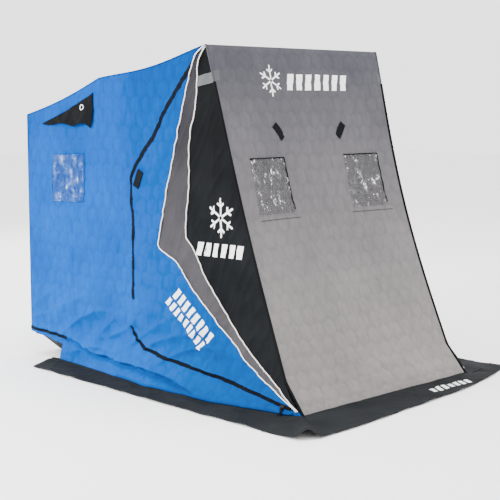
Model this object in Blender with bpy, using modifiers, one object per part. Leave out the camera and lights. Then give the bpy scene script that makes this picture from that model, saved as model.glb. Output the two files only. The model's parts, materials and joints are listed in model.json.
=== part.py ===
"""Two-person flip-over ice fishing shelter: a sled with a tent on four folding bows.

Metres, +Z up. The ice is z = 0, +X is the user's right seen from the front, the front wall faces -Y.
Four U-shaped bows fan out of one hub line on the sled. Each telescopes, and all fold back together.
"""

from math import atan2, cos, pi, radians, sin

import bmesh
import bpy
from mathutils import Matrix, Vector

OBJECT_NAME = "ice_fishing_shelter"

# Driving dimensions of the tent, in metres. Pairs are (y, z) in the plane of a side wall.
HALF_WIDTH = 0.785
SHIFT = -1.16
FRONT_FOOT = (0.000, 0.012)
FRONT_KINK = (0.135, 0.180)
PEAK = (0.780, 2.090)
MID_RIDGE = (1.800, 1.920)
REAR_RIDGE = (2.600, 1.680)
SIDE_SEAM_Z = 0.205
FABRIC = 0.005
WINDOW = 0.002
SEWN_GAP = 0.0015

# The sled and the hub line.
SLED_FRONT = 1.560
SLED_REAR = 2.580
SLED_HALF_LENGTH = 0.760
SLED_FLOOR_HALF = 0.560
SLED_CHINE_Z = 0.160
SLED_RIM_Z = 0.300
SLED_WALL = 0.006
HUB = (2.200, 0.420)
BOLT_RADIUS = 0.006
HOLE_RADIUS = 0.0063
GAP = 0.0003

# The bows: place of the crossbar, distance of the legs from the middle, and leg length.
LEG_SIDE = 0.020
LEG_BORE = 0.017
ROD_RADIUS = 0.0075
OVERLAP = 0.120
BOW_CORNER = 0.045
BUTTON_RADIUS = 0.004
BOWS = {
    "rear": {"bar": (2.565, 1.645), "leg_x": 0.711, "leg_length": 0.690},
    "mid": {"bar": (1.800, 1.885), "leg_x": 0.689, "leg_length": 0.800},
    "peak": {"bar": (0.800, 2.045), "leg_x": 0.755, "leg_length": 1.120},
    "front": {"bar": (0.165, 0.175), "leg_x": 0.733, "leg_length": 1.070},
}

# The seats.
SEAT_X = 0.330
SEAT_Y = 2.070
SEAT_Z = 0.455
SEAT_WIDTH = 0.380
SEAT_DEPTH = 0.380
SEAT_PAD = 0.070
BACK_HEIGHT = 0.360
BACK_PAD = 0.050
RAIL_RADIUS = 0.0125
RAIL_Y = (1.850, 2.290)

# The zip line of the door, top to bottom, and the seam between the door and its dark panel.
ZIP_LINE = [
    (0.920, 2.052), (1.100, 1.830), (1.300, 1.580), (1.460, 1.380), (1.525, 1.200), (1.505, 0.850),
    (1.515, 0.400), (1.470, 0.270), (1.350, 0.190), (1.100, 0.137), (0.600, 0.108), (0.160, 0.050),
]
PIPING_LINE = [
    (0.070, 0.035), (0.260, 0.147), (0.740, 0.474), (1.235, 0.880),
    (1.100, 1.460), (1.000, 1.810), (0.830, 2.062),
]

SIDES = {"left": -1, "right": 1}
# Local X, Y and Z of a flat outline become the world's Y, Z and X.
SIDE_PLANE = (pi / 2, 0, pi / 2)
# Local X, Y and Z of a flat outline become the world's X, Z and -Y.
UPRIGHT_PLANE = (pi / 2, 0, 0)

for old in list(bpy.data.objects):
    bpy.data.objects.remove(old, do_unlink=True)
parts = bpy.data.collections.new(OBJECT_NAME)
cutters = bpy.data.collections.new("cutters")
for group in (parts, cutters):
    bpy.context.scene.collection.children.link(group)


def material(name, colour, roughness, metallic=0.0, alpha=1.0):
    made = bpy.data.materials.new(name)
    made.use_nodes = True
    shader = made.node_tree.nodes["Principled BSDF"]
    shader.inputs["Base Color"].default_value = (*colour, 1.0)
    shader.inputs["Roughness"].default_value = roughness
    shader.inputs["Metallic"].default_value = metallic
    shader.inputs["Alpha"].default_value = alpha
    return made


BLUE = material("blue_fabric", (0.045, 0.270, 0.630), 0.75)
GREY = material("grey_fabric", (0.230, 0.225, 0.235), 0.80)
BLACK = material("black_fabric", (0.030, 0.034, 0.036), 0.80)
SKIRT = material("skirt_fabric", (0.050, 0.055, 0.060), 0.80)
CLEAR = material("clear_window", (0.850, 0.880, 0.900), 0.10, alpha=0.35)
PLASTIC = material("black_plastic", (0.045, 0.045, 0.047), 0.50)
ALUMINIUM = material("aluminium", (0.700, 0.710, 0.720), 0.35, metallic=1.0)
STEEL = material("zinc_steel", (0.480, 0.480, 0.490), 0.40, metallic=1.0)
SEAT_CLOTH = material("seat_cloth", (0.025, 0.027, 0.030), 0.85)


def at(y, z):
    """A point of the side plane, moved to the object's own frame."""
    return (y + SHIFT, z)


def add(obj, finish, group=parts):
    """Puts an object in its collection with its own material."""
    for home in list(obj.users_collection):
        home.objects.unlink(obj)
    group.objects.link(obj)
    obj.data.materials.clear()
    if finish:
        obj.data.materials.append(finish.copy())
        obj.data.materials[0].name = obj.name
    return obj


def mesh_object(name, shape, location=(0, 0, 0), rotation=(0, 0, 0)):
    mesh = bpy.data.meshes.new(name)
    shape.to_mesh(mesh)
    shape.free()
    obj = bpy.data.objects.new(name, mesh)
    obj.location = location
    obj.rotation_euler = rotation
    bpy.context.scene.collection.objects.link(obj)
    return obj


def block(name, low, high, location=(0, 0, 0), rotation=(0, 0, 0)):
    """A box between two corners in its own frame."""
    low, high = Vector(low), Vector(high)
    shape = bmesh.new()
    bmesh.ops.create_cube(shape, size=1.0)
    bmesh.ops.scale(shape, vec=high - low, verts=shape.verts)
    bmesh.ops.translate(shape, vec=(low + high) / 2, verts=shape.verts)
    return mesh_object(name, shape, location, rotation)


def rod_along_x(name, radius, x_low, x_high, centre, segments=16):
    """A round pin parallel to X; centre is its (y, z)."""
    shape = bmesh.new()
    bmesh.ops.create_cone(
        shape, cap_ends=True, segments=segments, radius1=radius, radius2=radius, depth=x_high - x_low
    )
    bmesh.ops.rotate(shape, verts=shape.verts, cent=(0, 0, 0), matrix=Matrix.Rotation(pi / 2, 3, "Y"))
    bmesh.ops.translate(shape, vec=((x_low + x_high) / 2, *centre), verts=shape.verts)
    return mesh_object(name, shape)


def join_or_cut(target, tool, operation):
    """Unites a tool with the target, or cuts it away; the tool stays as a guide."""
    add(tool, None, cutters)
    tool.hide_render = True
    tool.display_type = "WIRE"
    step = target.modifiers.new(operation.lower() + "_" + tool.name, "BOOLEAN")
    step.operation = operation
    step.solver = "EXACT"
    step.object = tool
    return target


def rounded(obj, width, segments=2):
    step = obj.modifiers.new("rounded_edges", "BEVEL")
    step.width = width
    step.segments = segments
    step.limit_method = "ANGLE"
    return obj


def inset(points, distance):
    """A closed outline moved inwards by a distance, corner by corner."""
    area = sum(a[0] * b[1] - b[0] * a[1] for a, b in zip(points, points[1:] + points[:1]))
    turn = 1 if area > 0 else -1
    moved = []
    for before, here, after in zip(points[-1:] + points[:-1], points, points[1:] + points[:1]):
        incoming = (Vector(here) - Vector(before)).normalized()
        outgoing = (Vector(after) - Vector(here)).normalized()
        normal_in = Vector((-incoming.y, incoming.x)) * turn
        normal_out = Vector((-outgoing.y, outgoing.x)) * turn
        middle = (normal_in + normal_out).normalized()
        reach = distance / max(0.35, middle.dot(normal_in))
        moved.append(tuple(Vector(here) + middle * reach))
    return moved


def panel(name, outline, thickness, location, rotation, finish):
    """A flat sheet with the given outline, centred on the plane it is placed in."""
    curve = bpy.data.curves.new(name, "CURVE")
    curve.dimensions = "2D"
    curve.fill_mode = "BOTH"
    curve.extrude = thickness / 2
    line = curve.splines.new("POLY")
    line.points.add(len(outline) - 1)
    for point, (u, v) in zip(line.points, outline):
        point.co = (u, v, 0, 1)
    line.use_cyclic_u = True
    obj = bpy.data.objects.new(name, curve)
    obj.location = location
    obj.rotation_euler = rotation
    bpy.context.scene.collection.objects.link(obj)
    return add(obj, finish)


def side_panel(name, outline, x, thickness, finish):
    """A sheet in the plane of a side wall; the outline is a list of (y, z)."""
    flat = [at(y, z) for y, z in inset(outline, SEWN_GAP)]
    return panel(name, flat, thickness, (x, 0, 0), SIDE_PLANE, finish)


def sloped_panel(name, low, high, outline, thickness, finish, lift=0.0):
    """A sheet on the slope from low to high, both (y, z); the outline is (x, distance up the slope)."""
    slope = atan2(high[1] - low[1], high[0] - low[0])
    y, z = at(*low)
    location = (0, y - sin(slope) * lift, z + cos(slope) * lift)
    return panel(name, outline, thickness, location, (slope, 0, 0), finish)


def span(low, high):
    return (Vector(high) - Vector(low)).length


def round_bar(name, points, radius, finish, location=(0, 0, 0), rotation=(0, 0, 0)):
    """A round bar along a line of points."""
    curve = bpy.data.curves.new(name, "CURVE")
    curve.dimensions = "3D"
    curve.bevel_depth = radius
    curve.bevel_resolution = 2
    curve.use_fill_caps = True
    line = curve.splines.new("POLY")
    line.points.add(len(points) - 1)
    for point, place in zip(line.points, points):
        point.co = (*place, 1)
    obj = bpy.data.objects.new(name, curve)
    obj.location = location
    obj.rotation_euler = rotation
    bpy.context.scene.collection.objects.link(obj)
    return add(obj, finish)


def joint_axis(name, location, rotation=(0, 0, 0)):
    empty = bpy.data.objects.new(name, None)
    empty.location = location
    empty.rotation_euler = rotation
    empty.empty_display_size = 0.05
    parts.objects.link(empty)
    return empty


# ---------------------------------------------------------------- sled

def sled_section(wall):
    """The sled's outline across its length: a flat floor and upswept ends. wall moves it inwards."""
    half = SLED_HALF_LENGTH
    right = [(SLED_FLOOR_HALF, 0.0), (half, SLED_CHINE_Z), (half, SLED_RIM_Z)]
    outline = right + [(-x, z) for x, z in reversed(right)]
    return inset(outline, wall) if wall else outline


def sled_block(name, outline, y_front, y_rear):
    """The section drawn out along Y as a closed mesh."""
    shape = bmesh.new()
    corners = [shape.verts.new((x, y_front + SHIFT, z)) for x, z in outline]
    face = shape.faces.new(corners)
    drawn = bmesh.ops.extrude_face_region(shape, geom=[face])["geom"]
    moved = [v for v in drawn if isinstance(v, bmesh.types.BMVert)]
    bmesh.ops.translate(shape, vec=(0, y_rear - y_front, 0), verts=moved)
    bmesh.ops.recalc_face_normals(shape, faces=shape.faces)
    return mesh_object(name, shape)


def make_sled():
    sled = add(sled_block("sled", sled_section(0), SLED_FRONT, SLED_REAR), PLASTIC)
    inner = sled_section(SLED_WALL)
    raised = [(x, z + 0.02 if z > SLED_CHINE_Z + 0.05 else z) for x, z in inner]
    hollow = sled_block("sled_hollow", raised, SLED_FRONT + SLED_WALL, SLED_REAR - SLED_WALL)
    join_or_cut(sled, hollow, "DIFFERENCE")

    half = SLED_HALF_LENGTH
    outer, inner = half + 0.012, half + 0.001
    front, rear = SLED_FRONT + SHIFT + 0.02, SLED_REAR + SHIFT
    ring = [
        (-outer, front), (-outer, rear + 0.012), (outer, rear + 0.012), (outer, front),
        (inner, front), (inner, rear + 0.001), (-inner, rear + 0.001), (-inner, front),
    ]
    panel("fabric_rail", ring, 0.040, (0, 0, 0.185), (0, 0, 0), PLASTIC)

    deck_top = SLED_RIM_Z + GAP + 0.008
    for side, sign in SIDES.items():
        xs = sorted((sign * 0.58, sign * half))
        deck = block(
            f"end_deck_{side}",
            (xs[0], SLED_FRONT + SHIFT, SLED_RIM_Z + GAP),
            (xs[1], SLED_REAR + SHIFT, deck_top),
        )
        add(deck, PLASTIC)
        make_hub(side, sign, deck_top)
    return deck_top


def make_hub(side, sign, deck_top):
    """The steel angle on the end deck, and the pivot bolt that carries the four legs of one side."""
    y, z = at(*HUB)
    foot_z = deck_top + GAP
    xs = sorted((sign * 0.622, sign * 0.630))
    bracket = block(f"hub_bracket_{side}", (xs[0], y - 0.05, foot_z), (xs[1], y + 0.05, z + 0.04))
    add(bracket, STEEL)
    xs = sorted((sign * 0.585, sign * 0.6305))
    foot = block(f"bracket_foot_{side}", (xs[0], y - 0.05, foot_z), (xs[1], y + 0.05, foot_z + 0.006))
    join_or_cut(bracket, foot, "UNION")
    hole = rod_along_x(f"bracket_hole_{side}", HOLE_RADIUS, min(xs) - 0.05, max(xs) + 0.05, (y, z))
    join_or_cut(bracket, hole, "DIFFERENCE")

    xs = sorted((sign * 0.612, sign * 0.770))
    bolt = add(rod_along_x(f"hub_bolt_{side}", BOLT_RADIUS, xs[0], xs[1], (y, z)), STEEL)
    xs = sorted((sign * 0.769, sign * 0.777))
    join_or_cut(bolt, rod_along_x(f"bolt_head_{side}", 0.011, xs[0], xs[1], (y, z), 6), "UNION")


# ---------------------------------------------------------------- bows

def bow_frame(name):
    """The bow's place on the hub: its turn about the hub line and its length."""
    y, z = BOWS[name]["bar"]
    turn = atan2(z - HUB[1], y - HUB[0])
    return turn, span(HUB, (y, z))


def arc(centre, radius, start, end, steps):
    for step in range(steps + 1):
        turn = radians(start + (end - start) * step / steps)
        yield (centre[0] + radius * cos(turn), centre[1] + radius * sin(turn), 0)


def make_bow(name):
    turn, length = bow_frame(name)
    spec = BOWS[name]
    hub = (0, *at(*HUB))
    place = {"location": hub, "rotation": (turn, 0, 0)}
    joint_axis(f"{name}_bow_axis", hub, (turn, 0, 0))
    bar_start = spec["leg_length"] - OVERLAP
    half = LEG_SIDE / 2
    bore = LEG_BORE / 2
    for side, sign in SIDES.items():
        x = sign * spec["leg_x"]
        leg = block(f"{name}_leg_{side}", (x - half, -0.02, -half), (x + half, spec["leg_length"], half), **place)
        add(leg, ALUMINIUM)
        hollow = block(
            f"{name}_bore_{side}", (x - bore, 0.03, -bore), (x + bore, spec["leg_length"] + 0.01, bore), **place
        )
        join_or_cut(leg, hollow, "DIFFERENCE")
        pivot = rod_along_x(f"{name}_pivot_{side}", HOLE_RADIUS, x - 0.03, x + 0.03, (0, 0))
        pivot.location, pivot.rotation_euler = place["location"], place["rotation"]
        join_or_cut(leg, pivot, "DIFFERENCE")
        xs = sorted((x - sign * 0.0078, x - sign * 0.0125))
        button_place = (bar_start + 0.06, 0)
        button = rod_along_x(f"{name}_snap_button_{side}", BUTTON_RADIUS, xs[0], xs[1], button_place, 12)
        xs = sorted((x - sign * 0.004, x - sign * 0.016))
        slot = rod_along_x(f"{name}_button_hole_{side}", 0.0048, xs[0], xs[1], button_place, 12)
        for piece in (button, slot):
            piece.location, piece.rotation_euler = place["location"], place["rotation"]
        add(button, STEEL)
        join_or_cut(leg, slot, "DIFFERENCE")

    x = spec["leg_x"]
    inner = x - BOW_CORNER
    path = [(x, bar_start, 0), *arc((inner, length - BOW_CORNER), BOW_CORNER, 0, 90, 5)]
    path += [(-px, py, pz) for px, py, pz in reversed(path)]
    round_bar(f"{name}_bar", path, ROD_RADIUS, ALUMINIUM, **place)


# ---------------------------------------------------------------- fabric

def make_side_fabric():
    middle = HALF_WIDTH
    wall_outline = [
        (REAR_RIDGE[0] - 0.004, SIDE_SEAM_Z), (REAR_RIDGE[0] - 0.004, REAR_RIDGE[1] - 0.010),
        (MID_RIDGE[0], MID_RIDGE[1] - 0.010), *ZIP_LINE, (0.030, 0.008),
        (SLED_FRONT, 0.008), (SLED_FRONT, SIDE_SEAM_Z),
    ]
    door_outline = ZIP_LINE + PIPING_LINE
    panel_outline = PIPING_LINE + [(PEAK[0] + 0.012, PEAK[1] - 0.014), (FRONT_KINK[0] + 0.012, FRONT_KINK[1])]
    vent_outline = [(2.420, 1.636), (1.853, 1.830), (1.859, 1.595)]
    window_outline = [(1.950, 1.030), (2.320, 1.030), (2.320, 1.425), (1.950, 1.425)]
    flap_top, flap_foot = (HALF_WIDTH + 0.004, 0.200), (HALF_WIDTH + 0.055, 0.0075)
    for side, sign in SIDES.items():
        side_panel(f"side_wall_{side}", wall_outline, sign * middle, FABRIC, BLUE)
        side_panel(f"door_{side}", door_outline, sign * middle, FABRIC, BLUE)
        side_panel(f"door_panel_{side}", panel_outline, sign * middle, FABRIC, BLACK)
        outside = sign * (middle + FABRIC / 2 + 0.002)
        side_panel(f"vent_flap_{side}", vent_outline, outside, 0.003, BLACK)
        side_panel(f"side_window_{side}", window_outline, outside, WINDOW, CLEAR)
        joint_axis(f"door_hinge_{side}", (sign * middle, *at(*FRONT_KINK)))

        skirt_outline = [
            (sign * (HALF_WIDTH + 0.005), 0.010 + SHIFT), (sign * 1.045, -0.020 + SHIFT),
            (sign * 1.090, 0.600 + SHIFT), (sign * 1.085, 1.300 + SHIFT), (sign * 0.985, 1.850 + SHIFT),
            (sign * 0.860, 2.200 + SHIFT), (sign * 0.8445, SLED_FRONT + SHIFT + 0.012),
            (sign * (HALF_WIDTH + 0.005), SLED_FRONT + SHIFT),
        ]
        panel(f"side_skirt_{side}", skirt_outline, FABRIC, (0, 0, FABRIC / 2), (0, 0, 0), SKIRT)

        lean = atan2(flap_foot[0] - flap_top[0], flap_top[1] - flap_foot[1])
        length = span(flap_top, flap_foot)
        outline = [(SLED_FRONT + 0.015, 0.0), (2.240, 0.0), (2.190, -length), (SLED_FRONT + 0.015, -length)]
        flap = panel(
            f"sled_flap_{side}",
            [(y + SHIFT, v) for y, v in outline],
            0.003,
            (sign * flap_top[0], 0, flap_top[1]),
            SIDE_PLANE,
            BLUE,
        )
        flap.rotation_euler = (Matrix.Rotation(-sign * lean, 3, "Y") @ flap.rotation_euler.to_matrix()).to_euler()

        tab = block(
            f"zip_slider_{side}",
            (-0.004, -0.012, -0.030),
            (0.004, 0.012, 0.012),
            (sign * (middle + 0.008), *at(0.115, 0.053)),
        )
        add(rounded(tab, 0.002), STEEL)


def make_front_and_roof():
    wide = HALF_WIDTH - 0.004
    kink_half = 0.765
    rise = span(FRONT_KINK, PEAK)
    wall = [(-kink_half, 0.006), (kink_half, 0.006), (wide, rise - 0.010), (-wide, rise - 0.010)]
    sloped_panel("front_wall", FRONT_KINK, PEAK, wall, FABRIC, GREY)
    kick = span(FRONT_FOOT, FRONT_KINK)
    strip = [(-wide, 0.002), (wide, 0.002), (kink_half, kick - 0.004), (-kink_half, kick - 0.004)]
    sloped_panel("front_wall_foot", FRONT_FOOT, FRONT_KINK, strip, FABRIC, GREY)
    for side, sign in SIDES.items():
        xs = sorted((sign * 0.285, sign * 0.620))
        pane = [(xs[0], 0.965), (xs[1], 0.965), (xs[1], 1.320), (xs[0], 1.320)]
        sloped_panel(f"front_window_{side}", FRONT_KINK, PEAK, pane, WINDOW, CLEAR, lift=0.0045)

    front = -(REAR_RIDGE[0] + SHIFT + FABRIC / 2)
    skirt = [(-0.800, -0.012 + SHIFT), (0.800, -0.012 + SHIFT), (1.040, -0.028 + SHIFT),
             (1.085, -0.060 + SHIFT), (1.000, front), (-1.000, front), (-1.085, -0.060 + SHIFT),
             (-1.040, -0.028 + SHIFT)]
    panel("front_skirt", skirt, FABRIC, (0, 0, FABRIC / 2), (0, 0, 0), SKIRT)

    for name, low, high in (("roof_rear", REAR_RIDGE, MID_RIDGE), ("roof_front", MID_RIDGE, PEAK)):
        length = span(low, high)
        outline = [(-wide, 0.006), (wide, 0.006), (wide, length - 0.004), (-wide, length - 0.004)]
        sloped_panel(name, low, high, outline, FABRIC, BLUE)

    rear_y = REAR_RIDGE[0] + SHIFT
    back = [(-wide, SIDE_SEAM_Z), (wide, SIDE_SEAM_Z), (wide, REAR_RIDGE[1] - 0.008), (-wide, REAR_RIDGE[1] - 0.008)]
    panel("rear_wall", back, FABRIC, (0, rear_y, 0), UPRIGHT_PLANE, BLUE)


# ---------------------------------------------------------------- seats

def make_seats(deck_top):
    rail_z = deck_top + GAP + RAIL_RADIUS
    for name, y in zip(("front", "rear"), RAIL_Y):
        ends = [(-0.66, y + SHIFT, rail_z), (0.66, y + SHIFT, rail_z)]
        round_bar(f"seat_rail_{name}", ends, RAIL_RADIUS, ALUMINIUM)
    plate_z = rail_z + RAIL_RADIUS + GAP
    y = SEAT_Y + SHIFT
    for side, sign in SIDES.items():
        x = sign * SEAT_X
        carriage = block(
            f"seat_carriage_{side}", (x - 0.11, RAIL_Y[0] + SHIFT - 0.04, plate_z),
            (x + 0.11, RAIL_Y[1] + SHIFT + 0.04, plate_z + 0.010),
        )
        add(carriage, PLASTIC)
        post = bmesh.new()
        bmesh.ops.create_cone(post, cap_ends=True, segments=20, radius1=0.032, radius2=0.032, depth=SEAT_Z - plate_z)
        post_object = mesh_object(f"seat_post_{side}", post, (x, y, (SEAT_Z + plate_z) / 2 + 0.001))
        join_or_cut(carriage, post_object, "UNION")
        for place, rail_y in enumerate(RAIL_Y):
            for edge in (-1, 1):
                low_y = rail_y + SHIFT + edge * 0.019 - 0.005
                lip = block(
                    f"rail_lip_{side}_{place}_{edge + 1}",
                    (x - 0.10, low_y, plate_z - 0.018), (x + 0.10, low_y + 0.010, plate_z + 0.004),
                )
                join_or_cut(carriage, lip, "UNION")
        joint_axis(f"seat_swivel_{side}", (x, y, SEAT_Z))

        pan_low = SEAT_Z + 0.0013
        pan = block(
            f"seat_pan_{side}", (x - SEAT_WIDTH / 2, y - SEAT_DEPTH / 2, pan_low),
            (x + SEAT_WIDTH / 2, y + SEAT_DEPTH / 2, pan_low + SEAT_PAD),
        )
        add(rounded(pan, 0.020, 3), SEAT_CLOTH)
        hinge_y = y + SEAT_DEPTH / 2 + 0.012
        hinge_z = pan_low + SEAT_PAD + 0.010
        back = block(
            f"seat_back_{side}", (x - SEAT_WIDTH / 2 + 0.01, hinge_y - 0.006, hinge_z + 0.012),
            (x + SEAT_WIDTH / 2 - 0.01, hinge_y - 0.006 + BACK_PAD, pan_low + SEAT_PAD + BACK_HEIGHT),
        )
        add(rounded(back, 0.018, 3), SEAT_CLOTH)
        for edge in (-1, 1):
            arm_x = x + edge * 0.12
            arm = block(
                f"seat_arm_{side}_{edge + 1}", (arm_x - 0.015, hinge_y - 0.006, hinge_z - 0.045),
                (arm_x + 0.015, hinge_y + 0.006, hinge_z + 0.050),
            )
            join_or_cut(back, arm, "UNION")
        joint_axis(f"seat_back_hinge_{side}", (x, hinge_y, hinge_z))


joint_axis("hub_line", (0, *at(*HUB)))
deck_top_z = make_sled()
for bow in BOWS:
    make_bow(bow)
make_side_fabric()
make_front_and_roof()
make_seats(deck_top_z)
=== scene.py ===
"""Looks of the flip-over ice fishing shelter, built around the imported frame.

Metres, in the frame of the CAD model. The tent's own outlines are given as (y, z) in the plane of a
side wall, with y counted from the front seam; tent() moves them to the object's frame.
"""

import json
from itertools import groupby
from math import atan2, cos, hypot, pi, radians, sin

import bmesh
import bpy
import numpy as np
from mathutils import Vector, geometry
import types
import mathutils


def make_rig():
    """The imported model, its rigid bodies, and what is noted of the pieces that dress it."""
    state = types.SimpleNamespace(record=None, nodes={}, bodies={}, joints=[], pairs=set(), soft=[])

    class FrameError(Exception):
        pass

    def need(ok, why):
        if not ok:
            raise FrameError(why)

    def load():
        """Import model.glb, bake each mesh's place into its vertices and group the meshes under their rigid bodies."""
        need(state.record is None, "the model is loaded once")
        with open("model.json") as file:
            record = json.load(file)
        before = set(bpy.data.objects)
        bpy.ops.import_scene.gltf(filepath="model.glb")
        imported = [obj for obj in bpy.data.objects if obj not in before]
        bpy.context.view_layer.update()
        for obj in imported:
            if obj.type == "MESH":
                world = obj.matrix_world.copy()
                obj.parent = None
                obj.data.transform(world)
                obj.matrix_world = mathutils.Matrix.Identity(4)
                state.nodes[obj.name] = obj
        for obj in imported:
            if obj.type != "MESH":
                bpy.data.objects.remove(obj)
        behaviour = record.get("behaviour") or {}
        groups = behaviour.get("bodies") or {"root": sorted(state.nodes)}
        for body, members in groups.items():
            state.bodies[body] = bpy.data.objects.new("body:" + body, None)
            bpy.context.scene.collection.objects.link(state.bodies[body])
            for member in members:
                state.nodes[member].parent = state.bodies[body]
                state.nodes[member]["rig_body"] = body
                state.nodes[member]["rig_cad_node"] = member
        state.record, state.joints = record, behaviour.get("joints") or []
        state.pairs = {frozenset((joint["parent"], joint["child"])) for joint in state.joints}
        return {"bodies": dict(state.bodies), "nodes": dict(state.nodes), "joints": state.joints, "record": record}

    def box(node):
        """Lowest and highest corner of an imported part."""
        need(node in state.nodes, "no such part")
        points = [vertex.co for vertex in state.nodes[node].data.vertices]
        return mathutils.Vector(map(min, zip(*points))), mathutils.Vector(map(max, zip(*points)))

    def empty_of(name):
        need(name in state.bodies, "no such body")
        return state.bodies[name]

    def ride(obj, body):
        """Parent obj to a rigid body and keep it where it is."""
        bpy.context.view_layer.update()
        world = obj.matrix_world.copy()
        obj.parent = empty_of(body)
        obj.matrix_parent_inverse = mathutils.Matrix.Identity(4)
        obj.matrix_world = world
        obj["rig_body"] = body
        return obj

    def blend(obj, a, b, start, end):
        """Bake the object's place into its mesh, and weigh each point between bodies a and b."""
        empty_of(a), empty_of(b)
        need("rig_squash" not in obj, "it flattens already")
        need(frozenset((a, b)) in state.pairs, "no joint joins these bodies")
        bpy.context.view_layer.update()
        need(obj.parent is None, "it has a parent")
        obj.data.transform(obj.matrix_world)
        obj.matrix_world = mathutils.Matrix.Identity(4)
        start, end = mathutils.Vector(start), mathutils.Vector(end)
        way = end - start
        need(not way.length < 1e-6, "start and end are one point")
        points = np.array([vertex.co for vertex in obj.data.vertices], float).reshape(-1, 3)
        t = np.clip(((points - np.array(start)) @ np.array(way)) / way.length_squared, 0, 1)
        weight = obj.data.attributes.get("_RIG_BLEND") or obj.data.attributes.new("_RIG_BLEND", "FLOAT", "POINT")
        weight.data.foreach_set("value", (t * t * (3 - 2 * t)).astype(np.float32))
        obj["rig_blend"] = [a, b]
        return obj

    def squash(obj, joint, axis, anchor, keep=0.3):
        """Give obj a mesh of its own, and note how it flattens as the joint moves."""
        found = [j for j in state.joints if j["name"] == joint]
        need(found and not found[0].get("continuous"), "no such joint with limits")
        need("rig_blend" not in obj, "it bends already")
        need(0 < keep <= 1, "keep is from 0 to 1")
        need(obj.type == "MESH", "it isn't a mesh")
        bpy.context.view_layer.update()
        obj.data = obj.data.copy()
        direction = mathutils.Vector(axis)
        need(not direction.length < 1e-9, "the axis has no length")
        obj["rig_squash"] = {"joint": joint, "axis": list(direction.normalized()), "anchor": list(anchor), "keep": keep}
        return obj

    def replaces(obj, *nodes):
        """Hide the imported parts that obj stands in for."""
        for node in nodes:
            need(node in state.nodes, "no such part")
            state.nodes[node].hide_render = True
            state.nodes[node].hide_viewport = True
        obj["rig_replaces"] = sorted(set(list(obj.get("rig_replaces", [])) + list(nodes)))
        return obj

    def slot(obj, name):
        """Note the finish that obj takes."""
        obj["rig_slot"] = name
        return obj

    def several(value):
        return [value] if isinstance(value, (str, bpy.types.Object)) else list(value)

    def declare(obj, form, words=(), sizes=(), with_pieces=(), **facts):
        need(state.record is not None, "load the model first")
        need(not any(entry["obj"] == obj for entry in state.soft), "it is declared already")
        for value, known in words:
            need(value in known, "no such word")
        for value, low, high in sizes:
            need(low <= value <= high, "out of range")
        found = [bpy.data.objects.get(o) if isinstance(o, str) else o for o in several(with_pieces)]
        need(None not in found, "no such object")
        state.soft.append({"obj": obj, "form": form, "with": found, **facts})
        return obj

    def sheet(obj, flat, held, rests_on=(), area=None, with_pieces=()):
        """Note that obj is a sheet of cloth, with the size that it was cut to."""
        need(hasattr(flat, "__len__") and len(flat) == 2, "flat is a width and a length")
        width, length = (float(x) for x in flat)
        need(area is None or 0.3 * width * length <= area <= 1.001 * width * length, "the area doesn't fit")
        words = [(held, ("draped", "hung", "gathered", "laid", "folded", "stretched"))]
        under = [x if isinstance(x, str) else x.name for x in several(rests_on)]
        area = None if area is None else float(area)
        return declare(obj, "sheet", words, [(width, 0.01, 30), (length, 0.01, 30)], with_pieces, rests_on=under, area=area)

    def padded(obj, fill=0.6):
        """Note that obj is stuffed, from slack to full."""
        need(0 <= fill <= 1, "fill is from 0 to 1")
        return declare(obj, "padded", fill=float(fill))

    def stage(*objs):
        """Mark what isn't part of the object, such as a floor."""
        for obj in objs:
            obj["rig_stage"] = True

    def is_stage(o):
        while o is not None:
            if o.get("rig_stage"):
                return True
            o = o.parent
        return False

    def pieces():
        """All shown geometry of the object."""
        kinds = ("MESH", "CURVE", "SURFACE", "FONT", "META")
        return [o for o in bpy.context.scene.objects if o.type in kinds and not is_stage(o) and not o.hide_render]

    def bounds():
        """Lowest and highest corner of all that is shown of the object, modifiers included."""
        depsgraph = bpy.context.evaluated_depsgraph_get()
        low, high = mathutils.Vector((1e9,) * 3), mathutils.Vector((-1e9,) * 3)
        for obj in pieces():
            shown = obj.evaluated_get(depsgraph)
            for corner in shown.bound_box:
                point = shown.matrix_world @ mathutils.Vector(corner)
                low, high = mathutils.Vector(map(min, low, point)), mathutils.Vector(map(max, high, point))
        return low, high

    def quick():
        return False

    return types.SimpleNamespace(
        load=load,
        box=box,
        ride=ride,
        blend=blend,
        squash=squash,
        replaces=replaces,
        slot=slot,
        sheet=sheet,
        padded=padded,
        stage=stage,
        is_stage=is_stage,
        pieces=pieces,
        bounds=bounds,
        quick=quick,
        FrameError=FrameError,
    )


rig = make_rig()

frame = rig.load()
CAD_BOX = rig.bounds()
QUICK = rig.quick()

# ---- places, read from the frame

def middle_of(node, axis):
    return sum(side[axis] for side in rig.box(node)) / 2


JOINTS = {joint["name"]: joint for joint in frame["joints"]}
FOLD = "rear_bow_fold"
HUB = tuple(JOINTS[FOLD]["pos_m"][1:])
SIDES = {"left": -1, "right": 1}
HALF = middle_of("side_wall_right", 0)
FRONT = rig.box("front_wall_foot")[0][1]
FOOT = (FRONT, 0.010)
KINK = tuple(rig.box("front_wall")[0][1:])
PEAK = (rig.box("roof_front")[0][1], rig.box("roof_front")[1][2] + 0.011)
MID = (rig.box("roof_rear")[0][1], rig.box("roof_rear")[1][2] - 0.003)
REAR = (middle_of("rear_wall", 1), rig.box("roof_rear")[0][2])
RAIL_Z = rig.box("rear_wall")[0][2]
SLED_EDGE_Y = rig.box("sled")[0][1]
TAIL_Y = FRONT + 2.260


def tent(points):
    return [(y + FRONT, z) for y, z in points]


# ---- sizes

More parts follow.
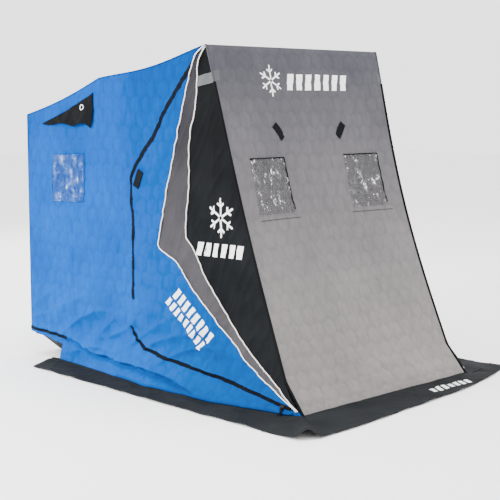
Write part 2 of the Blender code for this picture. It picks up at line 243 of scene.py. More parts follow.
STEP = 0.024 if QUICK else 0.011
QUILT_CELL = 0.108
QUILT_SWELL = 0.0062
LOOSE_FROM = 0.10
COIL_HALF, TAPE_HALF = 0.0045, 0.0125
PIPING_RADIUS = 0.0034
SEAM_RADIUS = 0.0035
HEM_RADIUS = 0.0085
TENT_HEIGHT = 2.1
PATCH_LOW, PATCH_HIGH = 1.885, 1.945
RINGS = [0.12, 0.42, 0.72, 1.02, 1.32, 1.70, 2.60]

# At distances behind the front seam: the foot's distance from the middle, the height of the fold over
# the ice, and the skirt's distance from the middle. SKIRT_FRONT is the skirt's front edge, by x.
LOW_FLARE = ((0.00, 0.08, 0.35, 0.60, 1.20, 1.75, 2.26), (0.795, 0.840, 0.880, 0.940, 0.945, 0.870, 0.810))
LOW_FOLD = ((0.60, 0.80, 1.10, 1.80, 2.12), (0.005, 0.040, 0.100, 0.105, 0.165))
SKIRT_SIDE = ((-0.20, 0.50, 1.10, 2.20), (1.158, 1.138, 1.122, 1.070))
SKIRT_FRONT = ((-1.10, -1.04, -0.60, 0.35, 0.75, 1.06), (-0.300, -0.355, -0.335, -0.255, -0.190, -0.100))
# Where the skirt's tails end, at the seam and at the free edge, and where the fold hides the zip: how
# far behind the front seam, and between which heights.
SKIRT_END = (2.320, 2.190)
ZIP_FOLD = (1.466, 0.190, 0.530)

ZIP_LINE = tent([
    (0.90, 2.000), (1.13, 1.760), (1.26, 1.575), (1.34, 1.485), (1.45, 1.335), (1.47, 1.220), (1.45, 0.980),
    (1.465, 0.640), (1.465, 0.345), (1.43, 0.285), (1.36, 0.238), (1.24, 0.205), (0.96, 0.172),
    (0.53, 0.127), (0.06, 0.046),
])
OUTER_PIPING = tent([
    (0.80, 2.098), (0.85, 2.068), (0.895, 2.015), (0.955, 1.835), (1.10, 1.335), (1.195, 0.960),
    (1.205, 0.885), (1.17, 0.850), (1.05, 0.795), (0.95, 0.690), (0.80, 0.558), (0.52, 0.330),
    (0.36, 0.213), (0.10, 0.080), (0.03, 0.030),
])
INNER_PIPING = tent([
    (0.79, 2.094), (0.825, 2.047), (0.853, 1.985), (0.862, 1.780), (0.915, 1.540), (0.920, 1.300),
    (0.960, 0.985), (0.955, 0.950), (0.88, 0.872), (0.76, 0.695), (0.63, 0.550), (0.41, 0.321),
    (0.18, 0.155), (0.024, 0.034),
])
VENT = tent([(2.413, 1.629), (1.856, 1.830), (1.862, 1.596)])
DOOR_TAB = tent([(1.418, 1.236), (1.371, 1.346)])
SIDE_WINDOW = tent([(1.948, 1.108), (2.306, 1.094), (2.294, 1.421), (1.951, 1.434)])
FRONT_WINDOW = ((0.292, 0.626), (1.094, 1.428))
FRONT_TAB = ((0.262, 1.545), (0.330, 1.628))

CAMERA_PLACE, CAMERA_DOWN, CAMERA_TURN, CAMERA_LENS = (-5.772, -5.675, 1.766), 6.898, 45.284, 88.04
SKY_STRENGTH = 2.6
LIGHTS = (
    ("key_light", (-7.5, 2.0, 3.6), 2.2, 1000), ("fill_light", (1.5, -8.0, 1.0), 3.0, 260),
    ("top_light", (0.0, 0.5, 8.0), 7.0, 600), ("rear_light", (1.0, 8.0, 4.5), 5.0, 400),
)


# ---- shapes of cloth as fields

def fade(value, reach):
    """Rises evenly from 0 to 1 over the reach."""
    return np.clip(value / reach, 0, 1)


def hill(value, width):
    """1 at zero, and smoothly down to 0 on both sides."""
    return np.exp(-(value / width) ** 2)


def waves(u, v, size, seed, stretch=1.0):
    """A smooth irregular field between about -1 and 1; size is the distance between its bumps."""
    draw = np.random.default_rng(seed)
    total = np.zeros(np.shape(u))
    for _ in range(14):
        turn, phase = draw.uniform(0, 2 * pi, 2)
        pitch = size * draw.uniform(0.7, 1.6)
        total += np.sin(2 * pi * (u * cos(turn) + v * sin(turn) / stretch) / pitch + phase)
    return total / 5.5


def creases(u, v, size, seed, stretch=1.0):
    """Sharp ridges with soft sides, as in pulled cloth."""
    return 1 - 2 * np.sqrt(np.abs(waves(u, v, size, seed, stretch)) + 0.002)


def stitch_distance(u, v):
    """0 at the stitches of a honeycomb quilting and 1 in mid cell; the cloth's pull bends its rows."""
    u, v = u + 0.010 * waves(u, v, 0.45, 3), v + 0.010 * waves(u, v, 0.50, 4)
    rows = QUILT_CELL * 3 ** 0.5
    near, across = [], []
    for shift in (0.0, 0.5):
        du = u - QUILT_CELL * (np.round(u / QUILT_CELL - shift) + shift)
        dv = v - rows * (np.round(v / rows - shift) + shift)
        near.append(np.hypot(du, dv))
        across.append(np.maximum(np.abs(du), np.abs(du) / 2 + np.abs(dv) * 3 ** 0.5 / 2))
    return np.clip(1 - 2 * np.where(near[1] < near[0], across[1], across[0]) / QUILT_CELL, 0, 1)


def quilting(u, v, edge, seams, pucker=0.0):
    """(closeness to a stitch, height) of quilted cloth, flat at its edge and pulled down at its seams."""
    stitch = np.minimum(stitch_distance(u, v), seams / 0.05)
    swell = 1 - (1 - fade(stitch, 0.75)) ** 2.2
    return stitch, (QUILT_SWELL * swell + pucker) * fade(edge, 0.03)


def along(line, value, from_axis=1, to_axis=0):
    """The line's other coordinate where one of them has the given value."""
    points = sorted((p[from_axis], p[to_axis]) for p in line)
    return np.interp(value, [p[0] for p in points], [p[1] for p in points])


def to_line(u, v, line, closed=False):
    """Distance from points to a line of points."""
    ends = list(line) + ([line[0]] if closed else [])
    best = np.full(np.shape(u), 1e9)
    for (au, av), (bu, bv) in zip(ends, ends[1:]):
        du, dv = bu - au, bv - av
        t = np.clip(((u - au) * du + (v - av) * dv) / max(du * du + dv * dv, 1e-12), 0, 1)
        best = np.minimum(best, np.hypot(u - au - t * du, v - av - t * dv))
    return best


def inside(u, v, outline):
    found = np.zeros(np.shape(u), bool)
    for (au, av), (bu, bv) in zip(outline, list(outline[1:]) + [outline[0]]):
        if av != bv:
            found ^= ((av > v) != (bv > v)) & (u < (bu - au) * (v - av) / (bv - av) + au)
    return found


def smooth_line(points, step=0.018):
    """A Catmull-Rom curve through the points."""
    made = []
    ends = [points[0]] + list(points) + [points[-1]]
    for a, b, c, d in zip(ends, ends[1:], ends[2:], ends[3:]):
        a, b, c, d = (np.array(p, float) for p in (a, b, c, d))
        count = max(1, int(np.linalg.norm(c - b) / step))
        for i in range(count):
            t = i / count
            square, cube = 2 * a - 5 * b + 4 * c - d, 3 * b - a - 3 * c + d
            made.append(tuple(0.5 * (2 * b + (c - a) * t + square * t * t + cube * t ** 3)))
    made.append(tuple(points[-1]))
    return made


def offset_line(line, distances):
    """An open line moved sideways, by a distance for each of its points."""
    made = []
    for i, (here, distance) in enumerate(zip(line, distances)):
        before, after = line[max(0, i - 1)], line[min(len(line) - 1, i + 1)]
        du, dv = after[0] - before[0], after[1] - before[1]
        size = max(hypot(du, dv), 1e-9)
        made.append((here[0] - dv / size * distance, here[1] + du / size * distance))
    return made


def resample(line, step):
    """The line's own points, with more between them where they are far apart."""
    made = []
    for a, b in zip(line, line[1:]):
        count = max(1, int(round(hypot(b[0] - a[0], b[1] - a[1]) / step)))
        made += [(a[0] + (b[0] - a[0]) * i / count, a[1] + (b[1] - a[1]) * i / count) for i in range(count)]
    return made + [tuple(line[-1])]


def spread(line):
    """(u values, v values) along a line, close enough to follow the cloth."""
    return np.array(resample(line, 0.02)).T


# ---- meshes

def triangulate(outline, lines=(), step=STEP):
    """Points and triangles of a flat region, with the given lines as edges."""
    rim = resample(list(outline) + [outline[0]], step)[:-1]
    verts, edges = list(rim), [(i, (i + 1) % len(rim)) for i in range(len(rim))]
    everything = [rim + [rim[0]]]
    for line in lines:
        points = resample(line, step)
        first = len(verts)
        verts += points
        edges += [(first + i, first + i + 1) for i in range(len(points) - 1)]
        everything.append(points)
    us, vs = np.array(rim).T
    rows = np.arange(vs.min(), vs.max(), step * 0.866)
    cells = np.arange(us.min() - step, us.max() + step, step)
    grid_u, grid_v = np.meshgrid(cells, rows)
    grid_u = grid_u + (np.arange(len(rows)) % 2)[:, None] * step / 2
    grid_u, grid_v = grid_u.ravel(), grid_v.ravel()
    keep = inside(grid_u, grid_v, rim)
    grid_u, grid_v = grid_u[keep], grid_v[keep]
    for line in everything:
        keep = to_line(grid_u, grid_v, line) > step * 0.5
        grid_u, grid_v = grid_u[keep], grid_v[keep]
    verts += list(zip(grid_u, grid_v))
    found, _, faces, *_ = geometry.delaunay_2d_cdt([Vector(p) for p in verts], edges, [], 0, 1e-6)
    points = np.array([tuple(p) for p in found])
    faces = np.array([tuple(f) for f in faces])
    middle = points[faces].mean(axis=1)
    a, b, c = (points[faces[:, i]] for i in range(3))
    area = (b[:, 0] - a[:, 0]) * (c[:, 1] - a[:, 1]) - (b[:, 1] - a[:, 1]) * (c[:, 0] - a[:, 0])
    keep = inside(middle[:, 0], middle[:, 1], rim) & (np.abs(area) > 1e-9)
    faces, area = faces[keep], area[keep]
    faces[area < 0] = faces[area < 0][:, ::-1]
    return points, faces


def grid_faces(rows, columns):
    """The four-sided faces between points that lie in rows."""
    grid = np.arange(rows * columns).reshape(rows, columns)
    corners = (grid[:-1, :-1], grid[:-1, 1:], grid[1:, 1:], grid[1:, :-1])
    return np.stack([corner.ravel() for corner in corners], axis=1)


def normals_of(points, faces):
    a, b, c = (points[faces[:, i]] for i in range(3))
    cross = np.cross(b - a, c - a)
    total = np.zeros_like(points)
    for i in range(3):
        np.add.at(total, faces[:, i], cross)
    return total / np.maximum(np.linalg.norm(total, axis=1, keepdims=True), 1e-12)


def add(name, mesh, finish=None):
    """Puts a mesh into the scene as an object."""
    if finish:
        mesh.materials.clear()
        mesh.materials.append(finish)
    made = bpy.data.objects.new(name, mesh)
    bpy.context.scene.collection.objects.link(made)
    return made


def add_shape(name, shape, finish=None):
    """The same for a bmesh."""
    mesh = bpy.data.meshes.new(name)
    shape.to_mesh(mesh)
    shape.free()
    return add(name, mesh, finish)


def piece(name, points, faces, finish, stitch=None, normals=None):
    """A mesh object of the used points; it may take its normals from the larger mesh it is cut from."""
    used, index = np.unique(faces, return_inverse=True)
    mesh = bpy.data.meshes.new(name)
    mesh.from_pydata(points[used].tolist(), [], index.reshape(-1, faces.shape[1]).tolist())
    mesh.update()
    mesh.shade_smooth()
    if stitch is not None:
        value = mesh.attributes.new("stitch", "FLOAT", "POINT")
        value.data.foreach_set("value", stitch[used].astype(np.float32))
    if normals is not None:
        mesh.normals_split_custom_set_from_vertices(normals[used].tolist())
    return add(name, mesh, finish)


def tube(name, path, radius, finish, sides=8):
    """A round piping along a path of points in space, as a mesh with closed ends."""
    curve = bpy.data.curves.new(name, "CURVE")
    curve.dimensions = "3D"
    curve.bevel_depth = radius
    curve.bevel_resolution = sides // 2 - 2
    curve.use_fill_caps = True
    line = curve.splines.new("POLY")
    line.points.add(len(path) - 1)
    for point, place in zip(line.points, path):
        point.co = (*place, 1)
    maker = bpy.data.objects.new(name + "_path", curve)
    bpy.context.scene.collection.objects.link(maker)
    bpy.context.view_layer.update()
    mesh = bpy.data.meshes.new_from_object(maker.evaluated_get(bpy.context.evaluated_depsgraph_get()))
    bpy.data.objects.remove(maker, do_unlink=True)
    shape = bmesh.new()
    shape.from_mesh(mesh)
    bmesh.ops.remove_doubles(shape, verts=shape.verts, dist=1e-5)
    shape.to_mesh(mesh)
    shape.free()
    mesh.shade_smooth()
    return add(name, mesh, finish)


def strap(name, path, finish, out, width, depth):
    """A flat strap along a path, on a surface that faces the out direction."""
    shape = bmesh.new()
    path, out = [Vector(place) for place in path], Vector(out).normalized()
    rings = []
    for here, before, after in zip(path, path[:1] + path, path[1:] + path[-1:]):
        across = (after - before).cross(out).normalized() * width / 2
        rings.append([
            shape.verts.new(here + across * side + out * rise)
            for side, rise in ((-1, 0), (-0.92, depth), (0.92, depth), (1, 0))
        ])
    for a, b in zip(rings, rings[1:]):
        for i in range(4):
            shape.faces.new((a[i], a[(i + 1) % 4], b[(i + 1) % 4], b[i]))
    shape.faces.new(rings[0][::-1])
    shape.faces.new(rings[-1])
    bmesh.ops.recalc_face_normals(shape, faces=shape.faces)
    return add_shape(name, shape, finish)


def thicken(made, thickness):
    made.modifiers.new("cloth_thickness", "SOLIDIFY").thickness = thickness


# ---- what each piece is

def declare(made, held, rests_on):
    """Declares a sheet of cloth, cut to what it measures: as long as it is, and as wide as its area needs."""
    area = sum(face.area for face in made.data.polygons)
    points = np.array([v.co for v in made.data.vertices])
    sides = np.sort(np.ptp(points, axis=0))[::-1]
    length = max(float(sides[0]), 0.012)
    width = max(min(float(sides[1]), 2.5 * area / length), area / length * 1.0005, 0.0102)
    length = max(min(length, 2.5 * area / width), 0.0102)
    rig.sheet(made, flat=(width, length), held=held, rests_on=list(rests_on), area=min(area, width * length))


def settle(made, slot, *stands_for, rests_on=None, held="stretched"):
    """Gives a piece its slot, the CAD nodes it stands for and, if it is cloth, what it rests on."""
    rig.slot(made, slot)
    if stands_for:
        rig.replaces(made, *stands_for)
    if rests_on:
        declare(made, held, rests_on)


def hub_point(radius, angle, x=0.0):
    return (x, HUB[0] + radius * cos(angle), HUB[1] + radius * sin(angle))


def hub_turn(y, z):
    """Angle about the hub, counted from just under the sled's rail."""
    angle = np.arctan2(z - HUB[1], y - HUB[0]) % (2 * pi)
    return np.where(angle > 2 * pi + SLED_ANGLE, angle - 2 * pi, angle)


def hub_angle(bow):
    _, y, z = JOINTS[f"{bow}_bow_telescope"]["axis"]
    return atan2(z, y) % (2 * pi)


HUB_ANGLES = {bow: hub_angle(bow) for bow in ("rear", "mid", "peak", "front")}
SLED_ANGLE = atan2(RAIL_Z - HUB[1], REAR[0] - HUB[0])
FANS = [
    ("sled", "rear_bow", SLED_ANGLE, HUB_ANGLES["rear"]),
    ("rear_bow", "mid_bow", HUB_ANGLES["rear"], HUB_ANGLES["mid"]),
    ("mid_bow", "peak_bow", HUB_ANGLES["mid"], HUB_ANGLES["peak"]),
    ("peak_bow", "front_bow", HUB_ANGLES["peak"], HUB_ANGLES["front"]),
]


def hub_bar(bow):
    """Middle of a bow's crossbar at rest."""
    low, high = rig.box(f"{bow}_bar")
    reach = max(hypot(y - HUB[0], z - HUB[1]) for y in (low[1], high[1]) for z in (low[2], high[2]))
    return hub_point(reach - 0.012, HUB_ANGLES[bow])


def bend(made, low, high):
    """Bends a piece between two bows."""
    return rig.blend(made, f"{low}_bow", f"{high}_bow", hub_bar(low), hub_bar(high))


def bend_front(made):
    return bend(made, "peak", "front")


def bend_side(made, y, z):
    """Bends a piece with the wedge of the side wall that holds a point."""
    angle = hub_turn(y, z)
    ring = max(0, int(np.searchsorted(RINGS, hypot(y - HUB[0], z - HUB[1]))) - 1)
    a, b, start, end = next(fan for fan in FANS if fan[2] <= angle < fan[3])
    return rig.blend(made, a, b, hub_point(RINGS[ring], start), hub_point(RINGS[ring], end))


def gather(made, body, bow="front"):
    """A piece on a body of its own: it crumples onto the leg of the bow beside it as the bows fold."""
    angle = HUB_ANGLES[bow]
    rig.ride(made, body)
    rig.squash(made, FOLD, axis=(0, sin(angle), -cos(angle)), anchor=(0, *HUB), keep=0.05)
    return made


# ---- materials

PLAIN = (1.0, 1.0, 1.0)


class Shader:
    """A Principled material with short helpers for its nodes."""

    def __init__(self, name, roughness, metallic=0.0, specular=0.5):
        self.material = bpy.data.materials.new(name)
        self.material.use_nodes = True
        self.tree = self.material.node_tree
        self.inputs = self.tree.nodes["Principled BSDF"].inputs
        self.inputs["Roughness"].default_value = roughness
        self.inputs["Metallic"].default_value = metallic
        self.inputs["Specular IOR Level"].default_value = specular
        self.place = self.node("ShaderNodeTexCoord").outputs["Object"]

    def node(self, kind, **values):
        made = self.tree.nodes.new(kind)
        for key, value in values.items():
            if hasattr(made, key):
                setattr(made, key, value)
            else:
                made.inputs[key].default_value = value
        return made

    def link(self, output, target):
        """Links to a socket, or to the surface's socket of that name."""
        self.tree.links.new(output, self.inputs[target] if isinstance(target, str) else target)

    def noise(self, scale, detail=3.0, stretch=PLAIN):
        mapping = self.node("ShaderNodeMapping", Scale=stretch)
        self.link(self.place, mapping.inputs["Vector"])
        made = self.node("ShaderNodeTexNoise", Scale=scale, Detail=detail)
        self.link(mapping.outputs[0], made.inputs["Vector"])
        return made.outputs["Fac"]

    def weave(self, scale):
        """Two crossed sets of threads."""
        threads = []
        for direction in ("X", "Z"):
            made = self.node(
                "ShaderNodeTexWave", wave_type="BANDS", bands_direction=direction, Scale=scale, Distortion=0.6
            )
            self.link(self.place, made.inputs["Vector"])
            threads.append(made.outputs["Fac"])
        return self.math("MULTIPLY", *threads)

    def math(self, operation, *values):
        made = self.node("ShaderNodeMath", operation=operation)
        for socket, value in zip(made.inputs, values):
            if isinstance(value, (int, float)):
                socket.default_value = value
            else:
                self.link(value, socket)
        return made.outputs[0]

    def share(self, axis, start, length):
        """How far a place lies along an axis, from 0 at the start to 1 at the end."""
        split = self.node("ShaderNodeSeparateXYZ")
        self.link(self.place, split.inputs[0])
        return self.math("DIVIDE", self.math("SUBTRACT", split.outputs[axis], start), length)

    def ramp(self, value, *stops):
        made = self.node("ShaderNodeValToRGB")
        while len(made.color_ramp.elements) < len(stops):
            made.color_ramp.elements.new(0.5)
        for element, (position, colour) in zip(made.color_ramp.elements, stops):
            element.position = position
            element.color = (*colour, 1)
        self.link(value, made.inputs["Fac"])
        return made.outputs["Color"]

    def multiply(self, share, tone, value, *stops):
        """A colour multiplied by the colour of a ramp."""
        made = self.node("ShaderNodeMix", data_type="RGBA", blend_type="MULTIPLY")
        made.inputs[0].default_value = share
        self.link(tone, made.inputs[6])
        self.link(self.ramp(value, *stops), made.inputs[7])
        return made.outputs[2]

    def bump(self, *layers):
        """Each layer is (height, strength, distance)."""
        normal = None
        for height, strength, distance in layers:
            made = self.node("ShaderNodeBump", Strength=strength, Distance=distance)
            self.link(height, made.inputs["Height"])
            if normal:
                self.link(normal, made.inputs["Normal"])
            normal = made.outputs["Normal"]
        self.link(normal, "Normal")


def quilted(name, colour, shade, light, painted_low_light, high_tint, painted_front_shade=PLAIN):
    """Quilted polyester: a fine weave, a puckered stitch line, and painted light and shade that change with the place.
    """
    made = Shader(name, 0.72, specular=0.015)
    tone = made.ramp(made.noise(2.4, 4.0), (0.30, shade), (0.52, colour), (0.75, light))
    stitch = made.node("ShaderNodeAttribute", attribute_name="stitch").outputs["Fac"]
    weave = made.weave(420)
    for share, value, *stops in (
        (0.8, made.noise(30, 4.0, (1, 1, 0.30)), (0.32, (0.84, 0.84, 0.85)), (0.66, PLAIN)),
        (0.85, stitch, (0.0, (0.80, 0.81, 0.83)), (0.06, (0.92, 0.93, 0.94)), (0.26, PLAIN)),
        # Painted light and shade: lighter near the foot and darker towards the top.
        (1.0, made.share("Z", 0.0, TENT_HEIGHT), (0.04, painted_low_light), (0.95, high_tint)),
        # Painted shade: darker towards the front seam.
        (1.0, made.share("Y", FRONT, 2.0), (0.40, painted_front_shade), (0.80, PLAIN)),
        (0.7, weave, (0.0, (0.88, 0.88, 0.88)), (1.0, PLAIN)),
    ):
        tone = made.multiply(share, tone, value, *stops)
    made.link(tone, "Base Color")
    made.link(made.math("MULTIPLY_ADD", made.noise(9, 2.0), 0.16, 0.62), "Roughness")
    made.bump((made.noise(22, 5.0, (1, 1, 0.5)), 0.75, 0.008), (stitch, 0.40, 0.004), (weave, 0.35, 0.0006))
    return made.material


def plain_cloth(name, colour, light, scale=300, roughness=0.75, high_tint=PLAIN):
    """Coated woven polyester with small creases, dusty wear, and painted shade that can darken its top."""
    made = Shader(name, roughness, specular=0.04)
    weave = made.weave(scale)
    tone = made.ramp(made.noise(3.5, 5.0), (0.30, colour), (0.75, light))
    # Painted shade: darker towards the top.
    tone = made.multiply(1.0, tone, made.share("Z", 0.0, TENT_HEIGHT), (0.30, PLAIN), (0.80, high_tint))
    made.link(made.multiply(0.6, tone, weave, (0.0, (0.78, 0.78, 0.78)), (1.0, PLAIN)), "Base Color")
    made.bump((made.noise(14, 6.0), 0.65, 0.008), (weave, 0.40, 0.0006))
    return made.material


def moulded(name, colour, light):
    """Moulded plastic with a pebbled skin and scuffs."""
    made = Shader(name, 0.55, specular=0.08)
    scuffs = made.noise(46, 8.0, (0.25, 1, 1))
    made.link(made.ramp(scuffs, (0.42, colour), (0.70, light)), "Base Color")
    made.link(made.math("MULTIPLY_ADD", scuffs, 0.3, 0.42), "Roughness")
    made.bump((made.noise(300, 4.0), 0.30, 0.0015), (scuffs, 0.25, 0.002))
    return made.material


def metal(name, colour, light, roughness):
    """Drawn or plated metal: fine lines and dull patches."""
    made = Shader(name, roughness, 1.0)
    patches = made.noise(9, 5.0)
    made.link(made.ramp(patches, (0.3, colour), (0.7, light)), "Base Color")
    made.link(made.math("MULTIPLY_ADD", patches, 0.25, roughness - 0.1), "Roughness")
    made.bump((made.noise(120, 4.0, (1, 0.06, 0.06)), 0.25, 0.0008), (made.noise(260, 3.0), 0.15, 0.0005))
    return made.material


def clear_sheet(name, dark, pale, glint=0.40):
    """Clear vinyl: it darkens what is behind it, its creases catch the light, and painted highlights whiten it where
    its flecks peak.
    """
    made = Shader(name, 0.10, specular=0.35)
    flecks = made.noise(125, 5.0, (1, 1, 0.6))
    painted_highlight = made.math("MULTIPLY", flecks, made.noise(24, 3.0, (1, 1, 0.55)))
    for target, *tones in (
        ("Base Color", dark, pale, (0.80, 0.80, 0.80)), ("Alpha", (0.30,) * 3, (0.50,) * 3, (0.95,) * 3),
    ):
        # Painted highlights: where the flecks peak, the colour turns white and the sheet nearly opaque.
        made.link(made.ramp(painted_highlight, *zip((0.20, 0.33, glint), tones)), target)
    made.bump((made.noise(22, 4.0), 0.9, 0.012), (flecks, 0.6, 0.005))
    return made.material


def printed(name, colour, light):
    """A printed or reflective film on cloth."""
    made = Shader(name, 0.55)
    grain = made.noise(180, 4.0)
    made.link(made.ramp(grain, (0.35, colour), (0.65, light)), "Base Color")
    made.bump((grain, 0.2, 0.0006), (made.noise(26, 4.0), 0.2, 0.003))
    return made.material


# The last tints are painted light and shade: lighter at the foot, darker at the top and, on the blue, towards the
# front.
BLUE = quilted(
    "blue_quilted", (0.0012, 0.074, 0.340), (0.0010, 0.062, 0.290), (0.0018, 0.086, 0.380),
    (1.04, 1.04, 1.04), (0.72, 0.67, 0.74), (0.74, 0.72, 0.68),
)
GREY = quilted(
    "grey_quilted", (0.188, 0.180, 0.187), (0.168, 0.161, 0.169), (0.207, 0.198, 0.204),
    (1.08, 1.05, 0.98), (0.38, 0.39, 0.44),
)
# The grey band and the black panel get painted shade that darkens them towards the top.
BAND = plain_cloth("grey_band", (0.044, 0.042, 0.046), (0.074, 0.070, 0.074), high_tint=(0.42, 0.43, 0.47))
BLACK = plain_cloth(
    "black_panel", (0.0045, 0.0054, 0.0062), (0.0090, 0.0104, 0.0116), high_tint=(0.62, 0.60, 0.60)
)
SKIRT = plain_cloth("skirt_cloth", (0.0098, 0.0112, 0.0122), (0.0188, 0.0208, 0.0224))
ZIP_TAPE = plain_cloth("zip_tape", (0.0020, 0.0026, 0.0040), (0.0055, 0.0065, 0.0090), 500)
WEBBING = plain_cloth("grey_webbing", (0.075, 0.079, 0.081), (0.105, 0.110, 0.112), 220)
TAB = plain_cloth("black_tab", (0.0024, 0.0028, 0.0032), (0.0070, 0.0078, 0.0086), 220)
SEAT = plain_cloth("seat_cloth", (0.0100, 0.0110, 0.0130), (0.0220, 0.0250, 0.0290), 200, 0.85)
PIPING = printed("reflective_piping", (0.72, 0.66, 0.60), (0.86, 0.82, 0.78))
WHITE = printed("white_print", (0.78, 0.78, 0.77), (0.88, 0.88, 0.87))
CLEAR = clear_sheet("clear_vinyl_front", (0.024, 0.024, 0.027), (0.075, 0.074, 0.079))
CLEAR_SIDE = clear_sheet("clear_vinyl_side", (0.002, 0.016, 0.110), (0.014, 0.115, 0.420), 0.44)
# Partly its own black and partly painted shade: darker than the plastic's own colour, for the shaded sled.
PLASTIC = moulded("moulded_plastic", (0.0038, 0.0038, 0.0041), (0.0105, 0.0102, 0.0102))
ALUMINIUM = metal("drawn_aluminium", (0.62, 0.63, 0.64), (0.74, 0.75, 0.76), 0.38)
STEEL = metal("zinc_steel", (0.42, 0.42, 0.43), (0.55, 0.55, 0.55), 0.42)
SLIDER = metal("dark_slider", (0.045, 0.046, 0.050), (0.085, 0.086, 0.090), 0.40)


# ---- shape of the side walls

def waist(z):
    """Half the front wall's width at a height: its edges are pulled in between the bows."""
    return HALF - 0.030 * np.sin(pi * fade(z, PEAK[1]))


def hollow(z):
    """How far the front wall's edges hang in between the bows."""
    return 0.055 * np.sin(pi * fade(z, PEAK[1])) ** 1.2


def front_edge(z):
    return np.interp(z, [FOOT[1], KINK[1], PEAK[1]], [FOOT[0], KINK[0], PEAK[0]])


def roof_line(y):
    return np.interp(y, [PEAK[0], MID[0], REAR[0]], [PEAK[1], MID[1], REAR[1]])


def roof_droop(y):
    """How far the roof's side edges hang down between the bows."""
    back, ahead = fade(y - MID[0], REAR[0] - MID[0]), fade(y - PEAK[0], MID[0] - PEAK[0])
    return 0.018 * np.sin(pi * back) + 0.030 * np.sin(pi * ahead) ** 1.5


SIDE_OUTLINE = [
    (REAR[0], RAIL_Z - 0.045), REAR, MID, PEAK, KINK, FOOT, (TAIL_Y - 0.02, 0.010),
    (TAIL_Y - 0.04, RAIL_Z - 0.090),
]
HELD_EDGE = [(REAR[0], 0), REAR, MID, PEAK, KINK, FOOT]
ZIP_CURVE, OUTER_CURVE, INNER_CURVE = (smooth_line(line) for line in (ZIP_LINE, OUTER_PIPING, INNER_PIPING))
DOOR_OUTLINE = ZIP_CURVE + OUTER_CURVE[::-1]
BAND_OUTLINE = OUTER_CURVE + INNER_CURVE[::-1]
PANEL_OUTLINE = INNER_CURVE[::-1] + [PEAK, KINK, FOOT]


def near_front(y, z):
    """1 at the front wall's edge, fading out behind it."""
    return hill(np.maximum(0, y - front_edge(z)), 0.34)


def flare(y, z):
    """How far the foot of the side stands out over the ice."""
    low = np.interp(y - FRONT, *LOW_FLARE) - HALF
    return low * np.exp(-(np.maximum(z - 0.010, 0) / 0.120) ** 1.2)


def ledge(distance, height, reach):
    """A fold that overhangs at distance zero and fades away behind it."""
    edge = 1 / (1 + np.exp(-np.clip(distance / 0.004, -40, 40)))
    return height * edge * np.exp(-np.maximum(distance, 0) / reach)


def low_folds(y, z):
    """The folds where the wall bends out to the ice, and the one that closes over the zip."""
    ends = fade(y - FRONT - 0.70, 0.25) * fade(2.20 - y + FRONT, 0.25)
    above = z - np.interp(y - FRONT, *LOW_FOLD) + 0.012 * waves(y, z, 0.25, 19)
    total = (ledge(above, 0.050, 0.120) - 0.028 * hill(above + 0.016, 0.013)) * ends
    beside, low, high = ZIP_FOLD
    ends = fade(z - low, 0.10) * fade(high - z, 0.10)
    total = total + ledge(FRONT + beside - y + 0.004 * waves(z, y, 0.2, 29), 0.020, 0.070) * ends
    total = total + ledge(y - FRONT - beside - 0.006, 0.014, 0.060) * ends
    upright = hill(y - FRONT - 2.09, 0.012) * fade(1.10 - z, 0.2)
    return total - 0.008 * upright - 0.003 * hill(z - 1.575, 0.006)


def side_reach(y, z):
    """Distance of the side cloth from the middle plane, without its quilting."""
    pull = (HALF - waist(z)) * near_front(y, z)
    loose = fade(to_line(y, z, HELD_EDGE), LOOSE_FROM)
    low = hill(z - 0.24, 0.20) * fade(y - FRONT - 0.25, 0.4)
    folds = 0.005 * waves(y, z, 0.55, 11, 2.2) + 0.004 * creases(y, z, 0.42, 5, 2.0)
    folds = folds + low * (0.018 * creases(y * 0.6 + z * 0.8, z, 0.28, 23) + 0.008 * waves(y, z, 0.16, 8))
    folds = folds + low_folds(y, z)
    belly = 0.012 * np.sin(pi * fade(z - 0.2, 1.7))
    return HALF - pull + flare(y, z) + loose * (folds + belly)


def panel_reach(y, z):
    """The unquilted band and panel: pulled smooth, with slanting creases."""
    edge = fade(to_line(y, z, SIDE_OUTLINE, True), 0.05)
    return side_reach(y, z) + edge * 0.0060 * creases(y * 0.8 + z * 0.45, z * 0.6 - y * 0.5, 0.11, 31, 3.0)


def side_surface(y, z):
    """(distance from the middle, closeness to a stitch) of the quilted face."""
    edge = to_line(y, z, SIDE_OUTLINE, True)
    pucker = 0.0015 * waves(y, z, 0.030, 37, 2.5) + 0.0030 * creases(y, z, 0.15, 41, 2.0)
    stitch, height = quilting(y, z, edge, np.minimum(edge, to_line(y, z, ZIP_LINE)), pucker)
    return side_reach(y, z) + height, stitch


def side_place(sign, reach, y, z):
    """Points in space: the cloth follows the hanging edge of the front wall."""
    drawn = y + hollow(z) * near_front(y, z)
    droop = roof_droop(drawn) * fade(z - 1.2, 0.5)
    return np.stack([sign * reach, drawn, z - droop], axis=-1)


def on_side(sign, y, z, lift):
    """Points just outside the quilted side."""
    return side_place(sign, side_surface(y, z)[0] + lift, y, z)


def on_panel(sign, y, z, lift):
    """Points just outside the plain panel."""
    return side_place(sign, panel_reach(y, z) + lift, y, z)


def zip_half(y, z):
    """Half the zip tape's width: it lies open toward the peak, and is turned partly under along the foot."""
    along_foot = fade(0.30 - z, 0.15) * fade(FRONT + 1.42 - y, 0.15)
    return TAPE_HALF + 0.0045 * fade(z - 1.30, 0.25) - 0.0025 * along_foot


def zip_profile(distance):
    """Height of the zip above the cloth: a flat tape with a raised coil."""
    return np.where(distance < COIL_HALF, 0.0050, np.where(distance < TAPE_HALF, 0.0022, 0.0))


# ---- side walls and doors

WALL, DOOR, DOOR_BAND, DOOR_PANEL, WALL_TAPE, DOOR_TAPE = range(6)
AHEAD, BESIDE = len(FANS), len(FANS) + 1  # the strips along the foot, ahead of the sled and beside it


